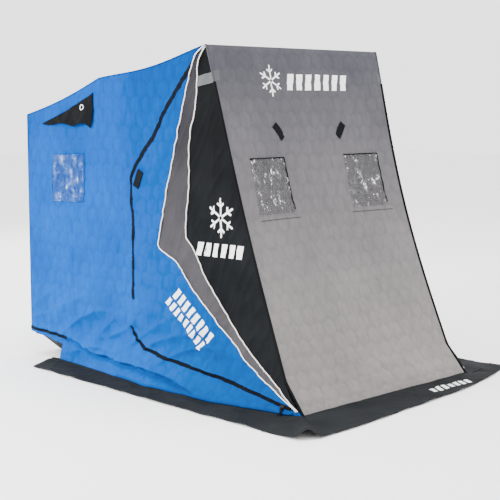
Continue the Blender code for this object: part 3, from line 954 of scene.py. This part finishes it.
def side_lines():
    """Edges that the side mesh must have: seams, the zip's tape and coil, bow lines and rings."""
    lines = [OUTER_CURVE, INNER_CURVE]
    for share in (-1, -0.36, 0, 0.36, 1):
        lines.append(offset_line(ZIP_CURVE, [share * float(zip_half(*point)) for point in ZIP_CURVE]))
    for *_, start, end in FANS:
        lines += [[hub_point(radius, angle)[1:] for radius in (0.02, TENT_HEIGHT)] for angle in (start, end)]
    turn, count = 0.05, 80
    for radius in RINGS[:-1]:
        lines.append([hub_point(radius, SLED_ANGLE + i * turn)[1:] for i in range(count)])
    lines.append([(SLED_EDGE_Y, 0.012), (SLED_EDGE_Y, HUB[1])])
    kept = []
    for line in lines:
        points = resample(line, STEP)
        y, z = np.array(points).T
        clear = inside(y, z, SIDE_OUTLINE) & (to_line(y, z, SIDE_OUTLINE, True) > 0.002)
        for is_clear, run in groupby(zip(clear, points), key=lambda pair: pair[0]):
            run = [point for _, point in run]
            if is_clear and len(run) > 1:
                kept.append(run)
    return kept


def side_labels(points, faces):
    """(region, fan, ring) of each triangle."""
    y, z = points[faces].mean(axis=1).T
    radius, angle = np.hypot(y - HUB[0], z - HUB[1]), hub_turn(y, z)
    fan = np.where(y < SLED_EDGE_Y, AHEAD, BESIDE)
    for i, (*_, start, end) in enumerate(FANS):
        fan[(angle >= start) & (angle < end)] = i
    ring = np.clip(np.searchsorted(RINGS, radius) - 1, 0, len(RINGS) - 2)
    region = np.full(len(faces), WALL)
    for kind, outline in ((DOOR, DOOR_OUTLINE), (DOOR_BAND, BAND_OUTLINE), (DOOR_PANEL, PANEL_OUTLINE)):
        region[inside(y, z, outline)] = kind
    beside, low, high = ZIP_FOLD
    covered = (np.abs(y - FRONT - beside) < 0.08) & (z > low + 0.15) & (z < high - 0.02)
    taped = (to_line(y, z, ZIP_CURVE) < zip_half(y, z)) & ~covered
    region[taped & (region == WALL)] = WALL_TAPE
    region[taped & (region == DOOR)] = DOOR_TAPE
    return region, fan, ring


def cutter(points, faces, stitch):
    """A function that cuts pieces from one large mesh, so that the shading runs on across the cuts."""
    normals = normals_of(points, faces)

    def cut(name, mask, finish):
        return piece(name, points, faces[mask], finish, stitch, normals)

    return cut


def make_wall(side, sign, cut, region, fan, ring):
    """The wall behind the zip, in wedges between the bows that turn about the hub."""
    nodes = (f"side_wall_{side}", f"sled_flap_{side}")
    for kind, finish, label, slot in (
        (WALL, BLUE, "side_wall", "blue_fabric"), (WALL_TAPE, ZIP_TAPE, "zip_tape", "black_fabric"),
    ):
        for i in range(BESIDE + 1):
            in_fan = i < len(FANS)
            for band in range(len(RINGS) - 1 if in_fan else 1):
                mask = (region == kind) & (fan == i) & ((ring == band) | (not in_fan))
                if mask.sum() < 2:
                    continue
                made = cut(f"{label}_{side}_{i}_{band}", mask, finish)
                if in_fan:
                    a, b, *angles = FANS[i]
                    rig.blend(made, a, b, *(hub_point(RINGS[band], angle, sign * HALF) for angle in angles))
                else:
                    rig.ride(made, "front_bow" if i == AHEAD else "sled")
                settle(made, slot, *nodes, rests_on=["rear_bar", "mid_bar"])
                nodes = ()


def make_door(side, sign, cut, region):
    body = f"door_{side}"
    for kind, finish, label, slot, nodes in (
        (DOOR, BLUE, "door", "blue_fabric", [body]), (DOOR_BAND, BAND, "door_band", "grey_fabric", []),
        (DOOR_PANEL, BLACK, "door_panel", "black_fabric", [f"door_panel_{side}"]),
        (DOOR_TAPE, ZIP_TAPE, "door_zip_tape", "black_fabric", []),
    ):
        made = gather(cut(f"{label}_cloth_{side}", region == kind, finish), body)
        settle(made, slot, *nodes, rests_on=["peak_bar", "front_bar"])
    for label, curve in (("outer", OUTER_CURVE), ("inner", INNER_CURVE)):
        y, z = np.array(curve).T
        reach = np.maximum(panel_reach(y, z), side_surface(y, z)[0]) + 0.0020
        path = side_place(sign, reach, y, z)
        settle(gather(tube(f"door_piping_{label}_{side}", path, PIPING_RADIUS, PIPING), body), "grey_fabric")


def make_sides():
    points, faces = triangulate(SIDE_OUTLINE, side_lines())
    y, z = points.T
    reach, stitch = side_surface(y, z)
    smooth = inside(y, z, BAND_OUTLINE) | inside(y, z, PANEL_OUTLINE)
    reach = np.where(smooth, panel_reach(y, z), reach)
    reach = reach + zip_profile(to_line(y, z, ZIP_CURVE) * TAPE_HALF / zip_half(y, z))
    region, fan, ring = side_labels(points, faces)
    for side, sign in SIDES.items():
        cut = cutter(side_place(sign, reach, y, z), faces[:, ::sign], stitch)
        make_wall(side, sign, cut, region, fan, ring)
        make_door(side, sign, cut, region)


make_sides()


# ---- front wall, roof and rear wall

FOOT_RUN = hypot(KINK[0] - FOOT[0], KINK[1] - FOOT[1])
FRONT_RUN = FOOT_RUN + hypot(PEAK[0] - KINK[0], PEAK[1] - KINK[1])
SLOPE = atan2(PEAK[1] - KINK[1], PEAK[0] - KINK[0])
FRONT_OUT = (0, -sin(SLOPE), cos(SLOPE))


def wall_outline(low, high):
    return [(-HALF, low), (HALF, low), (HALF, high), (-HALF, high)]


def wall_edge(x, run, low, high):
    """Distance to the nearest edge of such a wall."""
    return np.minimum(np.minimum(HALF - np.abs(x), run - low), high - run)


def front_profile(run):
    """(y, z) at a distance up the front wall from the foot seam."""
    return tuple(np.interp(run, [0, FOOT_RUN, FRONT_RUN], ends) for ends in zip(FOOT, KINK, PEAK))


def rounded_profile(run, amount):
    """The front wall's profile with the bend at the front bar rounded off by an amount from 0 to 1."""
    total_y, total_z = front_profile(run)
    for step in (-0.12, -0.08, -0.04, 0.04, 0.08, 0.12):
        reach = np.minimum(1, np.minimum(run, FRONT_RUN - run) / 0.12) * step
        y, z = front_profile(run + reach * amount)
        total_y, total_z = total_y + y, total_z + z
    return total_y / 7, total_z / 7


def run_at(z):
    return FOOT_RUN + (z - KINK[1]) / sin(SLOPE)


def front_surface(x, run, lift=0.0):
    """Points in space and closeness to a stitch of the front wall; x counts as if its sides were straight."""
    y, z = rounded_profile(run, fade(HALF - np.abs(x), LOOSE_FROM))
    edge = wall_edge(x, run, 0, FRONT_RUN)
    loose = fade(edge, LOOSE_FROM)
    stitch, height = quilting(x, run, edge, edge, 0.0010 * waves(x, run, 0.030, 45, 2.5))
    height = height + loose * (0.004 * waves(x, run, 0.60, 41, 2.0) + 0.003 * creases(x, run, 0.5, 43, 2.4))
    height = height + loose * hill(run - 0.12, 0.16) * 0.005 * creases(x, run, 0.25, 47) + lift
    inward = hollow(z) + 0.050 * np.sin(pi * fade(z, PEAK[1])) ** 2 * (1 - (x / HALF) ** 2)
    across = x * waist(z) / HALF
    return np.stack([across, y + inward + height * FRONT_OUT[1], z + height * FRONT_OUT[2]], axis=-1), stitch


def on_front(x, run, lift):
    return front_surface(x, run, lift)[0]


def pane(name, outline, place, lift, finish):
    """A creased clear sheet over part of a wall; place gives points from the outline's own plane."""
    points, faces = triangulate(outline, step=0.010)
    u, v = points.T
    edge = fade(to_line(u, v, outline, True), 0.03)
    creased = lift + edge * (0.0030 + 0.0028 * creases(u, v, 0.13, 61, 1.6) + 0.0016 * waves(u, v, 0.05, 67))
    return piece(name, place(u, v, creased), faces, finish)


def make_front_window(side, sign):
    (x_low, x_high), (z_low, z_high) = FRONT_WINDOW
    low, high = run_at(z_low), run_at(z_high)
    outline = [
        (sign * (x_low - 0.014), low), (sign * (x_high + 0.010), low), (sign * (x_high - 0.012), high),
        (sign * x_low, high),
    ][::sign]
    made = bend_front(pane(f"front_window_pane_{side}", outline, on_front, 0.0035, CLEAR))
    settle(made, "clear_window", f"front_window_{side}", rests_on=["front_wall_cloth"])
    left, right = sorted((sign * x_low, sign * (x_high - 0.012)))
    # Painted shade: a black line along the pane's top and right edges stands for the shade in the gap there.
    gap = [(left, high), (right, high), (right + 0.010, run_at(z_low + 0.02))]
    seam = [(left - 0.02, run_at(z_low - 0.03)), (right + 0.05, run_at(z_low - 0.03))]
    for label, line, lift, radius, finish, slot in (
        ("gap", gap, 0.0030, 0.0040, TAB, "black_fabric"),
        ("seam", seam, 0.0010, 0.0022, BAND, "grey_fabric"),
    ):
        path = on_front(*spread(line), lift)
        settle(bend_front(tube(f"front_window_{label}_{side}", path, radius, finish, 6)), slot)


def make_front():
    points, faces = triangulate(
        wall_outline(0.0, FRONT_RUN), [[(-HALF + 0.001, FOOT_RUN), (HALF - 0.001, FOOT_RUN)]]
    )
    body, stitch = front_surface(*points.T)
    made = bend_front(piece("front_wall_cloth", body, faces, GREY, stitch))
    settle(made, "grey_fabric", "front_wall", "front_wall_foot", rests_on=["peak_bar", "front_bar"])
    for side, sign in SIDES.items():
        for label, start, end, radius, finish, slot in (
            ("seam", FOOT[1], PATCH_LOW, 0.0090, TAB, "black_fabric"),
            ("cap", PATCH_LOW, PEAK[1] - 0.002, 0.0060, GREY, "grey_fabric"),
        ):
            z = np.linspace(start, end, 80)
            path = side_place(sign, waist(z) + 0.0030, front_edge(z), z)
            settle(bend_front(tube(f"front_edge_{label}_{side}", path, radius, finish)), slot)
        make_front_window(side, sign)
        path = on_front(*np.linspace(*[(sign * x, run_at(z)) for x, z in FRONT_TAB], 6).T, 0.002)
        tab = strap(f"front_tab_{side}", path, TAB, FRONT_OUT, width=0.052, depth=0.003)
        settle(bend_front(tab), "black_fabric")


def make_roof(name, low, high, bows):
    length, slope = hypot(high[0] - low[0], high[1] - low[1]), atan2(high[1] - low[1], high[0] - low[0])
    points, faces = triangulate(wall_outline(0.0, length))
    x, run = points.T
    share = run / length
    edge = wall_edge(x, run, 0, length)
    stitch, swell = quilting(x, run, edge, edge)
    y = low[0] + (high[0] - low[0]) * share
    sag = -0.024 * np.sin(pi * share) * (1 - (x / HALF) ** 2) - roof_droop(y) / abs(cos(slope))
    folds = 0.004 * creases(x, run, 0.5, 71) + 0.004 * waves(x, run, 0.5, 73)
    height = sag + swell + fade(edge, LOOSE_FROM) * folds
    z = low[1] + (high[1] - low[1]) * share - height * cos(slope)
    body = np.stack([x, y + height * sin(slope), z], axis=1)
    made = bend(piece(f"{name}_cloth", body, faces[:, ::-1], BLUE, stitch), *bows)
    settle(made, "blue_fabric", name, rests_on=[f"{bow}_bar" for bow in bows])
    for side, sign in SIDES.items():
        y = np.linspace(low[0], high[0], 40)
        path = side_place(sign, np.full(40, HALF), y, roof_line(y))
        settle(bend(tube(f"{name}_seam_{side}", path, SEAM_RADIUS, BLUE), *bows), "blue_fabric")


def make_rear():
    low, high = RAIL_Z - 0.04, REAR[1]

    def bend_rear(made):
        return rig.blend(made, "sled", "rear_bow", (0, REAR[0], low), (0, REAR[0], high))

    points, faces = triangulate(wall_outline(low, high))
    x, z = points.T
    edge = wall_edge(x, z, low, high)
    stitch, swell = quilting(x, z, edge, edge)
    folds = 0.005 * waves(x, z, 0.5, 81, 2.0) + 0.004 * creases(x, z, 0.45, 83, 2.0)
    body = np.stack([x, REAR[0] + (swell + fade(edge, LOOSE_FROM) * folds), z], axis=1)
    made = bend_rear(piece("rear_wall_cloth", body, faces[:, ::-1], BLUE, stitch))
    settle(made, "blue_fabric", "rear_wall", rests_on=["rear_bar", "fabric_rail"])
    for side, sign in SIDES.items():
        path = [(sign * HALF, REAR[0], z) for z in np.linspace(low, high, 60)]
        settle(bend_rear(tube(f"rear_seam_{side}", path, SEAM_RADIUS, BLUE)), "blue_fabric")


make_front()
make_roof("roof_front", MID, PEAK, ("mid", "peak"))
make_roof("roof_rear", REAR, MID, ("rear", "mid"))
make_rear()


# ---- skirts, rail binding and hems

def skirt_height(x, y):
    """Height of the cloth lying on the ice: low waves, and a fold that rises from the tent's left corner."""
    low = 0.005 + 0.004 * (1 + waves(x, y, 0.22, 97)) + 0.005 * np.maximum(0, creases(x, y, 0.30, 98))
    side, out = ((x + HALF) - (y - FRONT)) * 0.707, -((x + HALF) + (y - FRONT)) * 0.707
    return low + 0.046 * hill(side, 0.050) * fade(out - 0.05, 0.33)


def lay_skirt(name, inner, outer, body, *nodes):
    """A strip between two lines on the ice: the inner one is the seam, the outer one the free edge."""
    across = 8 if QUICK else 24
    share = np.linspace(0, 1, across)
    inner, outer = np.array(inner), np.array(outer)
    flat = inner[:, None, :] * (1 - share)[None, :, None] + outer[:, None, :] * share[None, :, None]
    x, y = flat[..., 0].ravel(), flat[..., 1].ravel()
    share = np.tile(share, len(inner))
    z = skirt_height(x, y) * np.clip(share * 6, 0.35, 1) + 0.010 * hill(share, 0.08)
    made = piece(name, np.stack([x, y, z], axis=1), grid_faces(len(inner), across), SKIRT)
    if sum(face.normal.z for face in made.data.polygons) < 0:
        made.data.flip_normals()
    thicken(made, 0.0025)
    settle(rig.ride(made, body), "skirt_fabric", *nodes, rests_on=["ice"], held="laid")


def skirt_side(sign, line, edge):
    """(seam, free edge) beside the tent, at the y values of the seam and of the edge."""
    seam = side_reach(np.minimum(line, TAIL_Y - 0.03), np.full(len(line), 0.012)) - 0.004
    wavy = 0.008 * waves(edge, edge * 0, 0.32, 91 + sign)
    reach = np.minimum(np.interp(edge - FRONT, *SKIRT_SIDE) + wavy, 1.160)
    return [(sign * s, y) for s, y in zip(seam, line)], [(sign * r, y) for r, y in zip(reach, edge)]


def make_skirts():
    tail = [np.linspace(SLED_EDGE_Y - 0.003, FRONT + end, 44) for end in SKIRT_END]
    for side, sign in SIDES.items():
        lay_skirt(f"skirt_tail_{side}", *skirt_side(sign, *tail), "sled")
    ahead = np.linspace(FRONT - 0.015, SLED_EDGE_Y - 0.004, 100)
    inner, outer = skirt_side(-1, ahead[::-1], ahead[::-1])
    xs = np.linspace(-0.79, 0.79, 130)
    edge = np.interp(xs * 1.36, *SKIRT_FRONT) + FRONT + 0.006 * waves(xs, xs * 0, 0.30, 103)
    corner = np.linspace(0, 1, 26)[1:-1]
    for sign in (-1, 1):
        if sign > 0:
            inner += [(x, FRONT + 0.004) for x in xs]
            outer += [(x * 1.36, y) for x, y in zip(xs, edge)]
        end = float(np.interp(sign * 1.07, *SKIRT_FRONT)) + FRONT
        rim_x = sign * np.interp(corner, (0, 0.5, 1), (1.158, 1.155, 1.075))
        rim_y = np.interp(corner, (0, 0.5, 1), (FRONT - 0.015, end + 0.03, end))
        inner += [(sign * 0.793, FRONT - 0.004)] * len(corner)
        outer += list(zip(rim_x, rim_y))[::-sign]
    right_inner, right_outer = skirt_side(1, ahead, ahead)
    inner, outer = inner + right_inner, outer + right_outer
    inner = [(x, y - offset) for (x, y), offset in zip(inner, np.linspace(0, 0.0012, len(inner)))]
    lay_skirt("skirt_cloth", inner, outer, "front_bow", "front_skirt", "side_skirt_left", "side_skirt_right")


def make_bindings():
    """The strip where the wall meets the sled's rail, and the rolled hem where it is sewn to its skirt."""
    for side, sign in SIDES.items():
        line = [(REAR[0] - 0.004, RAIL_Z - 0.018), (FRONT + 2.15, RAIL_Z - 0.036)]
        path = on_side(sign, *spread(line), 0.004)
        made = strap(f"rail_binding_{side}", path, TAB, (sign, 0, 0), width=0.020, depth=0.003)
        settle(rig.ride(made, "sled"), "black_fabric")
    for side, sign in SIDES.items():
        y = np.linspace(FRONT + 0.05, SLED_EDGE_Y - 0.03, 90)
        made = tube(f"side_hem_{side}", on_side(sign, y, np.full(90, 0.020), 0.003), HEM_RADIUS, BLUE)
        settle(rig.ride(made, "front_bow"), "blue_fabric")


make_skirts()
make_bindings()


# ---- windows, vents, tabs and sliders

def make_side_window(side, sign):
    def place(y, z, lift):
        return on_side(sign, y, z, lift)

    middle = np.mean(SIDE_WINDOW, axis=0)
    made = bend_side(pane(f"side_window_pane_{side}", SIDE_WINDOW, place, 0.004, CLEAR_SIDE), *middle)
    if sign < 0:
        made.data.flip_normals()
    settle(made, "clear_window", f"side_window_{side}", rests_on=[f"side_wall_{side}"])
    path = place(*spread(SIDE_WINDOW + SIDE_WINDOW[:1]), 0.0028)
    made = bend_side(tube(f"side_window_binding_{side}", path, 0.0022, BLUE, 6), *middle)
    settle(made, "blue_fabric")


def vent_points(sign, y, z):
    """The hood stands off the wall below its upper edge, and waves along its free edge."""
    (back, _), (front, _), _ = VENT
    drop = np.maximum(0, along(VENT[:2], y, 0, 1) - z)
    beside = 0.35 + 0.65 * fade(y - front, 0.10)
    points = on_side(sign, y, z, 0.006 + 0.12 * drop * beside * (1 + 0.3 * np.sin(y * 26)))
    share = fade(y - front, back - front)
    points[..., 2] += drop * (0.20 * np.sin(pi * share) + 0.09 * np.sin(share * 4 * pi))
    return points


def make_vent(side, sign):
    """A hooded vent: a black triangle that hangs from its upper edge, with a plain ring on it."""
    points, faces = triangulate(VENT, step=min(STEP, 0.012))
    made = piece(f"vent_hood_{side}", vent_points(sign, *points.T), faces[:, ::sign], BLACK)
    thicken(made, 0.002)
    gather(made, f"vent_{side}", "mid")
    settle(made, "black_fabric", f"vent_flap_{side}", rests_on=[f"side_wall_{side}"], held="hung")
    turn = np.linspace(0, 2 * pi, 25)
    y, z = VENT[1][0] + 0.105 + 0.018 * np.cos(turn), VENT[1][1] - 0.098 + 0.020 * np.sin(turn)
    points = vent_points(sign, y, z)
    points[:, 0] += sign * 0.0015
    settle(gather(tube(f"vent_mark_{side}", points, 0.0030, WHITE, 6), f"vent_{side}", "mid"), "black_fabric")


def make_slider(side, sign):
    """The zip's slider body with its long pull."""
    low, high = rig.box(f"zip_slider_{side}")
    y, z = (low[1] + high[1]) / 2, high[2] - 0.014
    x = float(on_side(sign, np.array(y), np.array(z), 0.006)[0])
    shape = bmesh.new()
    bmesh.ops.create_cube(shape, size=1.0)
    bmesh.ops.scale(shape, vec=(0.012, 0.036, 0.022), verts=shape.verts)
    bmesh.ops.bevel(shape, geom=list(shape.edges), offset=0.003, segments=2, affect="EDGES")
    bmesh.ops.translate(shape, vec=(x, y, z), verts=shape.verts)
    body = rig.ride(add_shape(f"slider_body_{side}", shape, SLIDER), f"zip_{side}")
    settle(body, "zinc_steel", f"zip_slider_{side}")
    bends = ((0.006, 0, -0.002), (0.011, -0.002, -0.016), (0.017, -0.003, -0.030), (0.050, -0.006, -0.034))
    path = [(x + sign * out, y + back, z + up) for out, back, up in bends]
    pull = strap(f"slider_pull_{side}", path, TAB, (sign, 0, 0), width=0.020, depth=0.003)
    settle(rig.ride(pull, f"zip_{side}"), "black_fabric")


def make_webbing(side, sign):
    """A grey webbing patch that ties the dark panel to the front wall near the peak."""
    rows = []
    for share in np.linspace(0, 1, 7):
        start = (float(along(INNER_CURVE, 1.868 + 0.057 * share)) - 0.006, 1.860 + 0.062 * share)
        end = (float(front_edge(1.885 + 0.057 * share)) + 0.001, 1.882 + 0.060 * share)
        rows.append(on_panel(sign, *np.linspace(start, end, 14).T, 0.003))
    made = piece(f"webbing_patch_{side}", np.concatenate(rows), grid_faces(7, 14), WEBBING)
    settle(gather(made, f"door_{side}"), "grey_fabric", rests_on=[f"door_panel_cloth_{side}"])
    low, high = run_at(PATCH_LOW), run_at(PATCH_HIGH)
    outer, inner = sign * (HALF - 0.002), sign * (HALF - 0.045)
    points, faces = triangulate(
        [(outer, low), (inner, low + 0.010), (inner, high + 0.010), (outer, high)], step=0.010
    )
    made = bend_front(piece(f"webbing_front_{side}", on_front(*points.T, 0.0018), faces, WEBBING))
    settle(made, "grey_fabric", rests_on=["front_wall_cloth"])


def make_side_details():
    for side, sign in SIDES.items():
        make_side_window(side, sign)
        path = on_side(sign, *spread(DOOR_TAB), 0.003)
        tab = strap(f"door_tab_{side}", path, TAB, (sign, 0, 0), width=0.056, depth=0.004)
        settle(gather(tab, f"door_{side}"), "black_fabric")
        make_vent(side, sign)
        make_slider(side, sign)
        make_webbing(side, sign)


make_side_details()


# ---- prints

def snowflake(centre, size):
    """Six arms with side twigs, each a thin strip."""
    made = []
    for arm in range(6):
        turn = arm * pi / 3 + pi / 6
        for start, length, lean in ((0.10, 0.90, 0.0), (0.55, 0.30, 0.9), (0.55, 0.30, -0.9)):
            base = np.array(centre) + size * start * np.array([cos(turn), sin(turn)])
            ahead = np.array([cos(turn + lean), sin(turn + lean)])
            across = np.array([-ahead[1], ahead[0]]) * size * 0.055
            tip = base + ahead * size * length
            made.append([tuple(p) for p in (base - across, tip - across, tip + across, base + across)])
    return made


def stripes(left, right, low, high, count, slant=0.25):
    """A row of slanted bars between two ends."""
    pitch, height = (right - left) / count, high - low
    width, lean, top = pitch * 0.62, slant * height, low + height
    starts = [left + pitch * i for i in range(count)]
    return [[(x, low), (x + width, low), (x + width + lean, top), (x + lean, top)] for x in starts]


def turned_about(outline, angle, centre):
    c, s = cos(angle), sin(angle)
    moved = [(u - centre[0], v - centre[1]) for u, v in outline]
    return [(centre[0] + u * c - v * s, centre[1] + u * s + v * c) for u, v in moved]


def print_on(name, outlines, place):
    """One thin printed mesh made of several outlines, just above the cloth."""
    all_points, all_faces, count = [], [], 0
    for outline in outlines:
        points, faces = triangulate(outline, step=0.010)
        all_points.append(place(*points.T, 0.0014))
        all_faces.append(faces + count)
        count += len(points)
    return piece(name, np.concatenate(all_points), np.concatenate(all_faces), WHITE)


def make_side_prints(side, sign):
    """The marks on the dark panel and on the door, drawn as they read from outside."""
    def panel(u, v, lift):
        return on_panel(sign, u * sign, v, lift)

    def door(u, v, lift):
        return on_side(sign, u * sign, v, lift)

    middle = sign * (FRONT + 0.642)
    marks = snowflake((middle, 1.085), 0.118) + stripes(middle - 0.225, middle + 0.205, 0.850, 0.930, 6)
    settle(gather(print_on(f"panel_print_{side}", marks, panel), f"door_{side}"), "black_fabric")
    u, v = sign * (FRONT + 0.925), 0.432
    marks = stripes(u - 0.21, u + 0.21, v + 0.010, v + 0.092, 8, 0.1)
    marks += stripes(u - 0.23, u + 0.19, v - 0.068, v - 0.008, 9, 0.1)
    marks = [turned_about(outline, sign * 0.70, (u, v)) for outline in marks]
    settle(gather(print_on(f"door_print_{side}", marks, door), f"door_{side}"), "blue_fabric")


def make_prints():
    low = run_at(1.800)
    marks = snowflake((-0.300, low + 0.100), 0.100) + stripes(-0.165, 0.435, low + 0.040, low + 0.145, 7)
    settle(bend_front(print_on("front_print", marks, on_front)), "grey_fabric")
    for side, sign in SIDES.items():
        make_side_prints(side, sign)

    def on_skirt(x, y, lift):
        return np.stack([x, y, skirt_height(x, y) + 0.002 + lift], axis=1)

    marks = stripes(0.20, 0.62, FRONT - 0.185, FRONT - 0.115, 7, 0.5)
    settle(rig.ride(print_on("skirt_print", marks, on_skirt), "front_bow"), "skirt_fabric")


make_prints()


# ---- seats

def cushion(name, node):
    """A crowned cushion that fills its CAD box, swelled by cloth pressure."""
    low, high = (np.array(side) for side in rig.box(node))
    middle, size = (low + high) / 2, (high - low) * 0.5
    shape = bmesh.new()
    bmesh.ops.create_cube(shape, size=2.0)
    bmesh.ops.subdivide_edges(shape, edges=list(shape.edges), cuts=11, use_grid_fill=True)
    for vert in shape.verts:
        place = np.array(vert.co)
        round_off = place / max(1.0, np.linalg.norm(place, ord=8))
        vert.co = Vector(middle + round_off * size * 0.90)
    made = add_shape(name, shape)
    if not QUICK:
        inflate(made, 0.005)
    made.data.shade_smooth()
    made.data.materials.clear()
    made.data.materials.append(SEAT)
    return made


def inflate(made, most):
    """Remeshes the cushion and lets cloth pressure swell it, at most by the given distance."""
    bpy.context.view_layer.objects.active = made
    remesh = made.modifiers.new("remesh", "REMESH")
    remesh.mode = "VOXEL"
    remesh.voxel_size = 0.009
    with bpy.context.temp_override(object=made, active_object=made, selected_objects=[made]):
        bpy.ops.object.modifier_apply(modifier="remesh")
    rest = np.array([v.co for v in made.data.vertices])
    cloth = made.modifiers.new("cloth", "CLOTH")
    cloth.settings.use_pressure = True
    cloth.settings.uniform_pressure_force = 4.0
    cloth.settings.effector_weights.gravity = 0.0
    cloth.settings.quality = 4
    scene = bpy.context.scene
    for step in range(1, 16):
        scene.frame_set(step)
    evaluated = made.evaluated_get(bpy.context.evaluated_depsgraph_get())
    move = np.array([v.co for v in evaluated.data.vertices]) - rest
    made.modifiers.remove(cloth)
    scene.frame_set(1)
    size = np.linalg.norm(move, axis=1, keepdims=True)
    move = move * np.minimum(1, most / np.maximum(size, 1e-9))
    made.data.vertices.foreach_set("co", (rest + move).ravel())
    made.data.update()


for side in SIDES:
    for label, body in (("pan", f"pan_{side}"), ("back", f"backrest_{side}")):
        node = f"seat_{label}_{side}"
        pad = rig.ride(cushion(f"seat_{label}_cushion_{side}", node), body)
        settle(pad, "seat_cloth", node)
        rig.padded(pad, fill=0.8)


# ---- carried-over CAD nodes

FINISHES = {"black_plastic": PLASTIC, "aluminium": ALUMINIUM, "zinc_steel": STEEL}
for entry in frame["record"]["subparts"]:
    if entry["material_slot"] in FINISHES:
        for holder in frame["nodes"][entry["node"]].material_slots:
            holder.material = FINISHES[entry["material_slot"]]


# ---- stage

def make_stage():
    floor = Shader("studio_floor", 0.9)
    floor.inputs["Base Color"].default_value = (0.93, 0.93, 0.92, 1)
    bpy.ops.mesh.primitive_plane_add(size=60, location=(0, 0, -0.001))
    plane = bpy.context.object
    plane.name = "studio_floor"
    plane.data.materials.append(floor.material)
    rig.stage(plane)

    scene = bpy.context.scene
    scene.world = bpy.data.worlds.new("studio")
    scene.world.use_nodes = True
    sky = scene.world.node_tree.nodes["Background"]
    sky.inputs["Color"].default_value = (1.0, 1.0, 1.0, 1)
    sky.inputs["Strength"].default_value = SKY_STRENGTH
    for name, place, size, power in LIGHTS:
        light = bpy.data.lights.new(name, "AREA")
        light.size = size
        light.energy = power
        lamp = bpy.data.objects.new(name, light)
        lamp.location = place
        lamp.rotation_euler = (Vector((0, 0, 0.9)) - Vector(place)).to_track_quat("-Z", "Y").to_euler()
        scene.collection.objects.link(lamp)

    lens = bpy.data.cameras.new("photo_camera")
    lens.lens = CAMERA_LENS
    lens.sensor_width = 36
    camera = bpy.data.objects.new("photo_camera", lens)
    camera.location = CAMERA_PLACE
    camera.rotation_euler = (radians(90 - CAMERA_DOWN), 0, -radians(CAMERA_TURN))
    scene.collection.objects.link(camera)
    scene.camera = camera


make_stage()
bpy.context.view_layer.update()
with open("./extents.json", "w") as out:
    json.dump({
        "cad": [list(corner) for corner in CAD_BOX],
        "visual": [list(corner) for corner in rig.bounds()],
    }, out)
